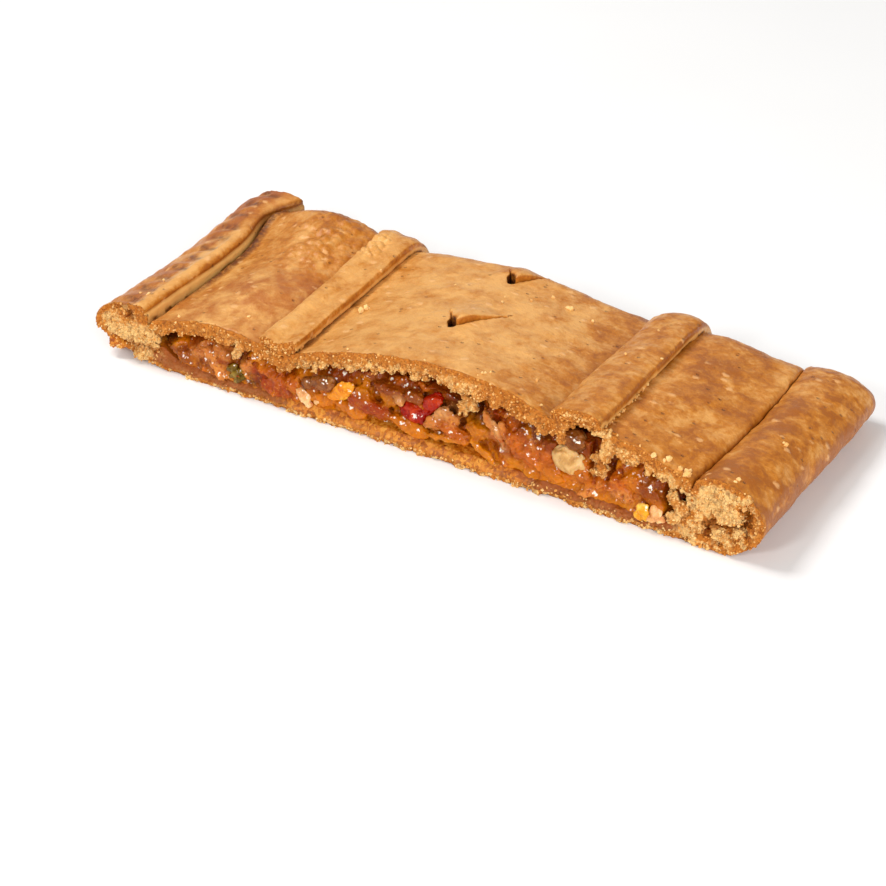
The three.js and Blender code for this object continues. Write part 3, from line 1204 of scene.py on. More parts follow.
    def store(self, **fields: Array) -> None:
        """Stores attributes that the crust's material reads, by their regions' names."""
        for name, values in fields.items():
            mark(self.piece, Region[name], values)

    def mark(self, surface: Surface) -> None:
        """Works out the attributes that every crust has.

        Args:
            surface: The crust's surface.
        """
        cut = self.cut_weights(surface)
        none = np.zeros(len(surface.places))
        self.store(CRUMB=cut, RIM=self.rim(surface, cut), TOAST=none + 0.5)
        self.store(RUDDY=none, SCORCH=none, PALE=none, SOAK=none)


@dataclass(frozen=True)
class Vent:
    """A V-shaped cut in the lid, with its point towards the cut face."""

    x: float
    y: float
    arms: Pair
    angle: float = 32.0
    rise: float = 2.1
    slot: float = 1.6
    gape: float = 4.5

    @property
    def arm(self) -> float:
        """The length of the longer arm."""
        return max(self.arms)

    def inside(self, surface: Surface) -> Array:
        """Tells how far each vertex belongs to the flap between the arms.

        Args:
            surface: The lid's surface.

        Returns:
            Weights that fall from the point to the hinge line.
        """
        across = surface.x - self.x
        along = surface.y - self.y
        turn = np.degrees(np.arctan2(np.abs(across), np.maximum(along, 1e-6)))
        reach = np.hypot(across, along) / self.arm
        flap = (turn < self.angle) & (along > 0)
        return flap * (1 - ease(reach, 0.2, 1.0))

    def near(self, surface: Surface) -> Array:
        """Tells which vertices lie close to the two arms.

        Args:
            surface: The lid's surface.

        Returns:
            Shares from 0 to 1.
        """
        across = np.abs(surface.x - self.x)
        along = surface.y - self.y
        angle = math.radians(self.angle)
        travel = np.clip(across * math.sin(angle) + along * math.cos(angle), 0, self.arm)
        gap = np.hypot(across - travel * math.sin(angle), along - travel * math.cos(angle))
        return 1 - ease(gap, 1.2, 3.2)

    def throat(self, surface: Surface) -> Array:
        """Tells which vertices line the open gap beside the point.

        Args:
            surface: The lid's surface.

        Returns:
            Shares from 0 to 1.
        """
        steep = 1 - ease(surface.upward, 0.3, 0.75)
        open_part = 1 - ease(surface.y - self.y, self.gape, self.gape + 2)
        return steep * self.near(surface) * open_part * (1 - ease(surface.x - self.x, 0.0, 1.0))

    def lift(self, surface: Surface) -> Array:
        """Gives how far each vertex moves as the flap lifts and the slots close, all but a gap at the point.

        Args:
            surface: The lid's surface.

        Returns:
            One step in millimetres for each vertex.
        """
        step = np.zeros_like(surface.places)
        across = surface.x - self.x
        along = surface.y - self.y
        turn = np.degrees(np.arctan2(across, np.maximum(along, 1e-6)))
        tilt = 0.2 + 0.8 * ease(turn, -self.angle, 0.3 * self.angle)
        step[:, 2] = self.rise * self.inside(surface) * tilt
        angle = math.radians(self.angle)
        for side, arm in zip((-1, 1), self.arms):
            travel = side * across * math.sin(angle) + along * math.cos(angle)
            out = side * across * math.cos(angle) - along * math.sin(angle)
            start = self.gape if side < 0 else 0.0
            shut = band(travel, (start - 1, start + 2), (arm, arm + 2))
            pull = -np.sign(out) * 0.44 * self.slot * shut * (1 - ease(np.abs(out), 0.5 * self.slot, 4.5))
            if side < 0:
                part = band(travel, (-1.5, 0.5), (start - 0.5, start + 1.5))
                pull += np.sign(out) * 0.45 * part * (1 - ease(np.abs(out), 0.5 * self.slot, 4.0))
            step[:, 0] += pull * side * math.cos(angle)
            step[:, 1] -= pull * math.sin(angle)
        return step


@dataclass
class Lid(DoughPart):
    """The puffed lid with its vents."""

    node: str = "lid"
    name: str = "lid_crust"
    slot: str = "lid_crust"
    voxel: float = 0.52
    rounds: int = 110
    grains: int = 1500
    grain_sizes: Pair = (0.35, 1.0)
    bulge: Pair = (-66.0, -16.0)
    blisters: Pair = (-68.0, 16.0)
    corner_rise: float = 2.6
    seam_rise: float = 1.0
    seam_reach: float = 0.7
    vents: tuple[Vent, ...] = (Vent(3.0, -17.3, (12.0, 21.0)), Vent(2.4, 22.4, (10.0, 14.0)))
    fringes: tuple[Fringe, ...] = (
        Fringe((-94, 22), 150, (1.0, 2.6), (0.0, 1.8), (0.2, 2.6)),
        Fringe((-40, 22), 46, (1.4, 3.2), (-1.1, 0.5), (0.6, 3.4)),
        Fringe((18, 58), 46, (2.6, 5.0), (-0.6, 1.6), (0.2, 1.8)),
        Fringe((56, 98), 60, (1.2, 3.0), (-0.2, 2.0), (0.2, 2.4)))
    chunks: tuple[Lump, ...] = (
        Lump((25.4, -43.8, 25.0), (7.0, 3.4, 4.4), (0, 20, 0), 0.5),
        Lump((23.4, -44.0, 22.8), (4.0, 2.6, 4.4), (0, 20, 0), 0.5),
        Lump((22.4, -44.2, 20.6), (2.0, 1.8, 3.0), (0, 30, 0), 0.5),
        Lump((-46.0, -44.4, 16.2), (5.4, 2.6, 3.6), (0, 24, 0), 0.4),
        Lump((-64.4, -44.4, 16.4), (3.4, 3.0, 4.4), (0, 20, 0), 0.5),
        Lump((-62.2, -44.2, 18.4), (2.8, 2.6, 3.0), (0, 0, 0), 0.5),
        Lump((73.8, -43.2, 28.2), (4.0, 3.4, 4.4), (0, 10, 0), 0.4),
        Lump((73.6, -44.0, 23.4), (6.4, 4.4, 6.0), (0, 30, 0), 0.4),
        Lump((70.6, -44.4, 20.0), (5.0, 3.8, 5.0), (10, 0, 0), 0.5),
        Lump((72.6, -44.4, 17.0), (5.6, 4.0, 5.0), (0, -20, 0), 0.5),
        Lump((70.0, -44.6, 14.6), (4.2, 3.4, 3.6), (0, 15, 0), 0.5),
        Lump((78.2, -44.0, 24.6), (5.4, 3.6, 4.8), (0, 0, 0), 0.4),
        Lump((95.6, -43.8, 13.8), (6.0, 4.0, 5.6), (0, 30, 0), 0.4),
        Lump((99.0, -43.6, 10.6), (5.6, 4.0, 6.0), (0, 20, 0), 0.4),
        Lump((97.0, -44.0, 7.4), (5.0, 3.6, 4.6), (0, 0, 0), 0.4))

    def soften_weights(self, surface: Surface) -> Array:
        """Keeps the vents' slots and the cut from being smoothed away.

        Args:
            surface: The crust's surface.

        Returns:
            Shares from 0 to 1.
        """
        weights = super().soften_weights(surface)
        for vent in self.vents:
            weights *= 1 - 0.96 * vent.near(surface)
        return weights

    def skin_weights(self, surface: Surface) -> Array:
        """Leaves the underside plain."""
        return ease(surface.upward, 0.0, 0.4)

    def skin_edge(self, surface: Surface) -> Array:
        """Counts only the top as baked skin."""
        return super().skin_edge(surface) & (surface.upward > 0.3)

    def hidden(self, surface: Surface) -> Array:
        """Marks the underside away from the cut."""
        return (surface.upward < -0.3) & (surface.y > CUT + 10)

    def shape(self) -> None:
        """Raises the back corner beside the crimped border."""
        surface = read(self.piece)
        corner = (1 - ease(surface.x, -97, -70)) * ease(surface.y, 16, 42)
        surface.places[:, 2] += self.corner_rise * corner * ease(surface.upward, -0.5, 0.2)
        move(self.piece, surface.places)

    def finish_form(self) -> None:
        """Lifts the flaps between the vents' arms and the seam beside the crimped border."""
        surface = read(self.piece)
        for vent in self.vents:
            surface.places[:] += vent.lift(surface)
        aside = surface.x - LEFT_WALL - fold_shift(surface.y)
        seam = (1 - ease(aside, 0.5, 4.5)) * ease(surface.y, -36, -14) * ease(surface.upward, -0.2, 0.3)
        surface.places[:, 0] -= self.seam_reach * seam
        surface.places[:, 2] += self.seam_rise * seam
        move(self.piece, surface.places)

    def roughen(self) -> None:
        """Adds blisters on the left panel's back and a ragged underside at the cut."""
        surface = read(self.piece)
        up = ease(surface.upward, 0.2, 0.6)
        group(self.piece, Region.BLISTER, up * surface.around(self.blisters, 16, 20))
        below = ease(-surface.upward, 0.1, 0.5) * (1 - ease(surface.y, CUT + 7, CUT + 10))
        group(self.piece, Region.RAGGED, below)
        roughen(self.piece, Grain.CELLS, 3.4, -2.0, Region.BLISTER)
        roughen(self.piece, Grain.CLOUDS, 5.5, 3.6, Region.RAGGED, 2)
        roughen(self.piece, Grain.CLOUDS, 1.8, 1.6, Region.RAGGED, 2)
        super().roughen()

    def rim(self, surface: Surface, cut: Array) -> Array:
        """Keeps the lid's cut golden all through, paler in the middle's crumbs.

        Args:
            surface: The crust's surface.
            cut: The weights of the cut face.

        Returns:
            Shares from 0 to 1.
        """
        pale = band(surface.x, (-48, -36), (27, 31)) + ease(surface.x, 60, 70)
        pale += 1.5 * bell((surface.x + 63.5) / 2.6)
        return np.maximum(super().rim(surface, cut), 0.62 - 0.4 * pale * self.crumbled(surface))

    def mark(self, surface: Surface) -> None:
        """Browns the side panels more than the middle one, and paints shade beside the crimped border and in
        the vents' open gaps.

        Args:
            surface: The crust's surface.
        """
        super().mark(surface)
        left = 1 - ease(surface.x, -58, -44)
        right = ease(surface.x, 10, 70)
        back = ease(surface.y, 24, 43)
        front = 1 - ease(surface.y, -30, 0)
        toast = 0.18 + 0.24 * left + 0.44 * right + (0.34 - 0.28 * right) * back
        toast += 0.1 * left * ease(surface.y, 0, 25)
        aside = surface.x - LEFT_WALL - fold_shift(surface.y)
        # Painted shade: the lid is browned and darkened in a band along the crimped border's wall
        beside = (1 - ease(aside, 1.6, 4.8)) * ease(surface.y, -36, -12)
        toast += 0.3 * (1 - ease(aside, 1, 8)) * ease(surface.y, -28, 0)
        toast += 0.25 * surface.around((42, 34), 18, 18)
        # Painted shade: the walls of each vent's open gap are darkened where no light reaches
        throat = np.zeros(len(surface.places))
        for vent in self.vents:
            toast += 0.6 * vent.near(surface) * (1 - ease(surface.upward, 0.5, 0.9))
            throat = np.maximum(throat, vent.throat(surface))
        bulge = surface.around(self.bulge, 17, 17) + 0.7 * left * front
        inside = ease(-surface.upward, 0.0, 0.4)
        self.store(TOAST=toast, SCORCH=np.maximum(throat, 0.9 * beside),
                   RUDDY=0.6 * np.clip(bulge, 0, 1) * left,
                   CRUMB=np.maximum(self.cut_weights(surface), inside))


@dataclass
class Strip(DoughPart):
    """A dough band laid over the lid."""

    slot: str = "strip_crust"
    voxel: float = 0.42
    rounds: int = 14
    toast: float = 0.3
    below: Piece = None
    patch: Pair | None = None

    def across(self, surface: Surface) -> Array:
        """Tells where each vertex lies from the strip's left edge to its right edge, from 0 to 1.

        Args:
            surface: The crust's surface.

        Returns:
            Shares from 0 to 1.
        """
        rows = np.clip(((surface.y - CUT) / 3).astype(int), 0, None)
        low = np.full(rows.max() + 1, np.inf)
        high = np.full(rows.max() + 1, -np.inf)
        np.minimum.at(low, rows, surface.x)
        np.maximum.at(high, rows, surface.x)
        return (surface.x - low[rows]) / (high[rows] - low[rows])

    def shape(self) -> None:
        """Squares the right shoulder and presses the back end onto the lid."""
        surface = read(self.piece)
        square = bell((self.across(surface) - 0.97) / 0.14) * ease(surface.upward, -0.2, 0.3)
        surface.places[:, 2] += 0.45 * square * (1 - ease(surface.y, 24, 40))
        press = ease(surface.y, 18, 34) * ease(-surface.upward, -0.1, 0.5)
        surface.places[:, 2] -= 1.0 * press
        surface.places[:, 1] -= 1.0 * press * ease(surface.y, 34, 42)
        move(self.piece, surface.places)

    def roughen(self) -> None:
        """Adds a patch of coarse grains where the strip has one."""
        if self.patch:
            surface = read(self.piece)
            spot = surface.around(self.patch, 5.2, 8.0)
            up = ease(surface.upward, 0.3, 0.7)
            group(self.piece, Region.BLISTER, ease(spot, 0.25, 0.6) * up)
            roughen(self.piece, Grain.CELLS, 2.4, -2.2, Region.BLISTER)
        super().roughen()

    def heights(self, surface: Surface) -> Array:
        """Measures how high each vertex stands over the crust below.

        Args:
            surface: The strip's surface.

        Returns:
            The distances in millimetres.
        """
        lid = read(self.below).places
        near = (lid[:, 0] > surface.x.min() - 4) & (lid[:, 0] < surface.x.max() + 4)
        return gaps_to(lid[near], surface.places)

    def torn_foot(self, span: Pair) -> Array:
        """Gives places along the foot of the right wall between two depths.

        Args:
            span: The two depths.

        Returns:
            The places.
        """
        surface = read(self.piece)
        low = (surface.rightward > 0.5) & (self.heights(surface) < 0.9)
        return surface.places[low & (surface.y > span[0]) & (surface.y < span[1])]

    def mark(self, surface: Surface) -> None:
        """Leaves the foot of the right wall pale and the wall above it golden, with painted shade along the
        crack at its foot.

        Args:
            surface: The crust's surface.
        """
        super().mark(surface)
        wall = ease(surface.rightward, 0.35, 0.7)
        height = self.heights(surface)
        foot = 1 - ease(height, 1.5, 2.3)
        toast = self.toast + 0.45 * wall + 0.2 * ease(surface.y, 16, 42)
        pale = 0.75 * wall * foot
        if self.patch:
            spot = surface.around(self.patch, 5.6, 8.5)
            pale = np.maximum(pale, 0.35 * ease(spot, 0.2, 0.6))
        # Painted shade: a dark line along the crack at the foot of the right wall
        crack = wall * (1 - ease(height, 0.3, 0.8)) * ease(ripple(surface.places, 9, 17), -0.5, 0.1)
        self.store(TOAST=toast, PALE=pale * (1 - crack), SCORCH=crack)


@dataclass
class Tray(DoughPart):
    """The bottom sheet with its crimped border, its rolled border and the rim at the back."""

    node: str = "tray"
    name: str = "tray_crust"
    slot: str = "tray_crust"
    voxel: float = 0.55
    rounds: int = 24
    cut_depth: float = 3.2
    crag: float = 2.8
    grains: int = 1500
    grain_sizes: Pair = (0.35, 1.1)
    crest: float = 23.2
    crest_rise: float = 0.11
    fold_drop: float = 2.7
    fold_depth: float = 0.7
    lip_swing: float = 2.6
    crimp_pitch: float = 8.1
    crimp_start: float = 1.0
    pit: Pair = (LEFT_EDGE + 4.5, 13.2)
    pit_depth: float = 3.0
    crack_depth: float = 5.0
    crack: tuple[Pair, ...] = (
        (104.0, 5.6), (108.6, 9.2), (114.5, 9.2), (118.4, 11.6), (119.6, 15.4))
    fringes: tuple[Fringe, ...] = (
        Fringe((-118, 118), 170, (0.8, 2.0), (0.4, 1.3), (-0.2, 0.6)),
        Fringe((-106, -96), 12, (1.6, 3.6), (4.0, 13.0), (0.2, 1.6)),
        Fringe((-120, -99), 60, (1.0, 3.0), (9.0, 15.6), (-0.3, 1.2), True),
        Fringe((103, 122), 50, (1.0, 2.4), (1.0, 22.0), (-0.1, 1.0), True))
    chunks: tuple[Lump, ...] = (
        Lump((113.2, -44.2, 12.6), (6.4, 3.4, 4.6), (0, 10, 0), 0.4),
        Lump((116.9, -43.6, 13.4), (3.6, 3.0, 3.6), (0, 30, 0), 0.4),
        Lump((111.0, -44.2, 6.2), (8.0, 3.8, 4.4), (0, 8, 0), 0.4),
        Lump((117.6, -44.0, 9.0), (4.8, 3.4, 3.8), (0, -20, 0), 0.4),
        Lump((104.2, -44.2, 7.0), (6.0, 3.4, 4.0), (0, 20, 0), 0.4),
        Lump((101.6, -43.2, 14.8), (6.0, 4.4, 7.4), (0, 10, 0), 0.4),
        Lump((99.0, -42.8, 18.0), (6.0, 4.2, 5.0), (0, 20, 0), 0.4),
        Lump((-103.0, -44.6, 15.0), (5.0, 3.6, 4.4), (0, 30, 0), 0.5),
        Lump((-100.0, -44.2, 12.0), (5.0, 3.6, 4.0), (0, 0, 0), 0.5),
        Lump((-98.2, -44.6, 16.0), (3.6, 3.0, 3.6), (0, 40, 0), 0.5),
        Lump((-106.2, -45.0, 11.6), (4.0, 3.0, 3.6), (0, 20, 0), 0.5),
        Lump((-110.6, -45.0, 19.4), (3.0, 2.4, 4.0), (0, 10, 0), 0.5),
        Lump((-113.0, -45.0, 11.4), (4.6, 3.2, 4.0), (0, 10, 0), 0.5),
        Lump((-115.8, -44.8, 4.8), (6.4, 4.2, 4.8), (0, 14, 0), 0.5))

    def soften_weights(self, surface: Surface) -> Array:
        """Keeps the flat underside flat."""
        flat = (surface.z < 0.5) & (surface.upward < -0.9)
        return super().soften_weights(surface) * ~flat

    def skin_weights(self, surface: Surface) -> Array:
        """Leaves the underside and the covered floor plain."""
        covered = (surface.x > LEFT_WALL) & (surface.x < RIGHT_WALL) & (surface.y < 40)
        return ease(surface.z, 1.0, 4.0) * ~(covered & (surface.z < 12))

    def hidden(self, surface: Surface) -> Array:
        """Marks the underside and the covered floor, away from the edges.

        Args:
            surface: The crust's surface.

        Returns:
            One truth value for each vertex.
        """
        under = (surface.upward < -0.95) & (surface.z < 0.4) & (surface.y > CUT + 6)
        floor = (surface.upward > 0.9) & (surface.z < 6) & (surface.y > CUT + 16) & (surface.y < 38)
        return under | floor

    def carve(self) -> None:
        """Opens the crack in the rolled border's cut end and the pit in the crimped border's."""
        surface = read(self.piece)
        path = np.array(self.crack)
        gap = np.full(len(surface.places), np.inf)
        spots = surface.places[:, (0, 2)]
        for start, end in zip(path, path[1:]):
            share = np.clip((spots - start) @ (end - start) / ((end - start) @ (end - start)), 0, 1)
            gap = np.minimum(gap, np.linalg.norm(spots - start - share[:, None] * (end - start), axis=1))
        open_crack = bell(np.maximum(gap + 0.35 * ripple(surface.places, 3, 4), 0) / 1.25)
        dig = self.crack_depth * open_crack + self.pit_depth * self.in_pit(surface, 2.4)
        face = (surface.forward > 0.3) * (surface.y < CUT + 4)
        upper, lower = self.recesses(surface)
        surface.places[:, 1] += dig * face + 3.0 * upper + 2.2 * lower
        move(self.piece, surface.places)

    def in_pit(self, surface: Surface, tall: float) -> Array:
        """Tells how close each vertex lies to the pit in the crimped border's cut end."""
        return bell(np.hypot((surface.x - self.pit[0]) / 1.6, (surface.z - self.pit[1]) / tall))

    def recesses(self, surface: Surface) -> tuple[Array, Array]:
        """Tells how far the crimped border's cut end is hollow below its top and above the bottom sheet.

        Args:
            surface: The crust's surface.

        Returns:
            The shares of the upper hollow and of the lower one.
        """
        face = (surface.forward > 0.2) * (surface.y < CUT + 5)
        upper = bell((surface.z - 18.2) / 2.6) * band(surface.x, (-122, -118), (-108.5, -105.5))
        lower = bell((surface.z - 6.8) / 1.6) * band(surface.x, (-118, -113), (-100, -97))
        return upper * face, lower * face

    def shape(self) -> None:
        """Slopes the bottom sheet's broken front edge and draws the lip's back end to the right."""
        surface = read(self.piece)
        inner = band(surface.x, (LEFT_WALL - 4, LEFT_WALL + 6), (RIGHT_WALL - 9, RIGHT_WALL - 1))
        low = inner * (1 - ease(surface.z, 7, 9))
        depth = surface.y - CUT
        rise = 0.8 * band(depth, (1, 6), (10, 15)) * ease(surface.upward, 0.3, 0.8)
        surface.places[:, 1] += 2.0 * ease(surface.z, 1.2, 5.0) * low * (1 - ease(depth, 0, 14))
        surface.places[:, 2] += rise * low
        lip = band(surface.x, (-115, -107), (-92, -88)) * ease(surface.z, 14, 20)
        surface.places[:, 0] += self.lip_swing * lip * ease(surface.y, 28, 43)
        move(self.piece, surface.places)

    def crest_height(self, surface: Surface) -> Array:
        """Gives the height of the crimped border's inner lip beside each vertex."""
        return self.crest * (1 + self.crest_rise * np.clip((surface.y - CUT) / (BACK - CUT), 0, 1))

    def lip_wall(self, surface: Surface) -> Array:
        """Tells which vertices belong to the lip's wall above the lid."""
        left = 1 - ease(surface.x, LEFT_WALL + 2, LEFT_WALL + 4)
        return left * ease(surface.rightward, 0.3, 0.7) * (surface.z > 12)

    def crimps(self, surface: Surface) -> Array:
        """Tells how dark each vertex is from the dents of the left border, darkest beside its inner lip.

        Args:
            surface: The crust's surface.

        Returns:
            Shares from 0 to 1.
        """
        aside = surface.x - LEFT_WALL - fold_shift(surface.y)
        drift = surface.y + 0.42 * (aside + 10) + 0.5 * ripple(surface.places, 7, 3)
        phase = (drift - self.crimp_start) / self.crimp_pitch
        press = bell((phase - np.rint(phase)) * self.crimp_pitch / 1.5)
        close = band(aside, (-17.5, -13.5), (-6.8, -4.6))
        uneven = 0.95 + 0.35 * ripple(surface.places, 4.5, 12)
        return press * np.clip(close * uneven, 0, 1) * ease(surface.z, 12, 17)

    def finish_form(self) -> None:
        """Draws the fold line below the inner lip and keeps the underside flat."""
        surface = read(self.piece)
        surface.places[:, 0] -= self.fold_depth * self.fold_line(surface)
        surface.places[:, 2] = np.maximum(surface.z, 0.0)
        move(self.piece, surface.places)

    def fold_line(self, surface: Surface) -> Array:
        """Tells how close each vertex lies to the fold line below the inner lip."""
        return bell((surface.z - self.crest_height(surface) + self.fold_drop) / 0.6) * self.lip_wall(surface)

    def roughen(self) -> None:
        """Makes the crust uneven, but not below the floor."""
        super().roughen()
        surface = read(self.piece)
        surface.places[:, 2] = np.maximum(surface.z, 0.0)
        move(self.piece, surface.places)

    def wet_and_glint(self, surface: Surface) -> Array:
        """Tells where juice has soaked the bottom sheet's edge, above the crumbs at its foot.

        Args:
            surface: The crust's surface.

        Returns:
            Shares from 0 to 1.
        """
        middle = band(surface.x, (LEFT_WALL - 2, LEFT_WALL + 6), (RIGHT_WALL - 8, RIGHT_WALL))
        dry = 1.5 * ease(surface.x, 30, 50)
        level = surface.z - dry + 0.5 * ripple(surface.places, 4, 21)
        high = ease(level, 0.9, 2.2) * (1 - ease(surface.z, 8, 10))
        return middle * high * (1 - self.crumbled(surface))

    def calm(self, surface: Surface) -> Array:
        """Leaves the soaked edge smooth."""
        return 0.7 * self.wet_and_glint(surface)

    def rim(self, surface: Surface, cut: Array) -> Array:
        """Leaves the crumbs along the edge pale, and the lip's end and the hollow below it golden.

        Args:
            surface: The crust's surface.
            cut: The weights of the cut face.

        Returns:
            Shares from 0 to 1.
        """
        upper, _ = self.recesses(surface)
        lip = band(surface.x, (-108, -105), (-99, -97)) * ease(surface.z, 15.5, 17)
        gold = np.maximum(0.75 * upper, 0.9 * lip)
        return np.maximum(super().rim(surface, cut) * (1 - 0.85 * self.crumbled(surface)), gold)

    def mark(self, surface: Surface) -> None:
        """Browns the borders, scorches the crimps, paints shade along the fold, in the pit, at the torn foot
        and on the rear of the lip's wall, and soaks the floor under the filling.

        Args:
            surface: The crust's surface.
        """
        super().mark(surface)
        left = 1 - ease(surface.x, LEFT_WALL - 2, LEFT_WALL + 2)
        right = ease(surface.x, RIGHT_WALL - 2, RIGHT_WALL + 2)
        middle = (left < 0.5) & (right < 0.5)
        floor = (surface.upward > 0.4) & (surface.z < 9) & middle
        wall = self.lip_wall(surface)
        below = 1 - ease(surface.z - self.crest_height(surface), -3.2, -2.5)
        crest = bell((surface.x - LEFT_WALL + 4) / 2.6) * ease(surface.upward, 0.4, 0.8) * left
        slope = left * (1 - ease(surface.x, LEFT_WALL - 9, LEFT_WALL - 7))
        side = right * (1 - ease(surface.upward, 0.1, 0.7))
        rear = left * ease(surface.y, 8, 40)
        toast = 0.72 - 0.32 * left - 0.4 * crest + 0.12 * slope + 0.42 * side + 0.15 * wall * (1 - below)
        # The fold line gets painted shade along its crease
        toast += 0.34 * rear + 0.4 * self.fold_line(surface) + 0.14 * right * ease(surface.y, 5, 40)
        ends = 1 - ease(surface.x, -62, -40) * (1 - 0.8 * ease(surface.x, 30, 60))
        steeped = (1 - left) * (1 - ease(surface.z, 7, 9)) * ends
        blob = 1 - ease(self.chunks[-1].distance(surface.places), 1.15, 1.5)
        ruddy = np.clip(0.4 * slope + 0.5 * rear, 0, 0.75) + steeped
        # Painted shade in the cut end's pit, in torn pits at the wall's foot and on the rear part of the
        # lip's wall
        pit = self.in_pit(surface, 2.2) * (surface.y < CUT + 5)
        foot = wall * bell((surface.z - self.crest_height(surface) + 6.4) / 1.0)
        torn = foot * ease(ripple(surface.places, 6, 31), 0.25, 0.6)
        dark = 0.4 * wall * ease(surface.y, 20, 38)
        scorch = np.maximum.reduce([0.7 * self.crimps(surface), 0.7 * pit, 0.8 * torn, dark])
        _, lower = self.recesses(surface)
        soak = np.maximum.reduce([0.9 * floor, 0.9 * self.wet_and_glint(surface), 0.6 * lower, blob])
        pale = 0.88 * wall * below * (1 - torn) * (1 - rear)
        self.store(TOAST=toast, RUDDY=ruddy * (1 - blob), SCORCH=scorch, PALE=pale, SOAK=soak)


@dataclass(frozen=True)
class Look:
    """A filling's colour, and how dull and how fibrous it is, from 0 to 1."""

    colour: Colour
    dull: float = 0.0
    fibrous: float = 0.0


class Kind(Enum):
    """Kinds of filling with their looks."""

    GOLD = Look(srgb(206, 114, 8), 0.1)
    RED_SAUCE = Look(srgb(150, 34, 2))
    FISH = Look(srgb(214, 134, 60), 0.5, 1.0)
    STEWED = Look(srgb(198, 98, 14), 0.3, 1.0)
    BROWN = Look(srgb(132, 60, 8), 0.1, 0.2)
    AMBER = Look(srgb(210, 124, 6))
    # Painted shade: dark lumps set into the cavities under the lid
    DARK = Look(srgb(60, 20, 3), 0.1)
    BEIGE = Look(srgb(224, 162, 96), 0.5, 0.3)


@dataclass(frozen=True)
class Morsel(Lump):
    """One piece of the filling that shows at the cut."""

    kind: Kind = Kind.GOLD


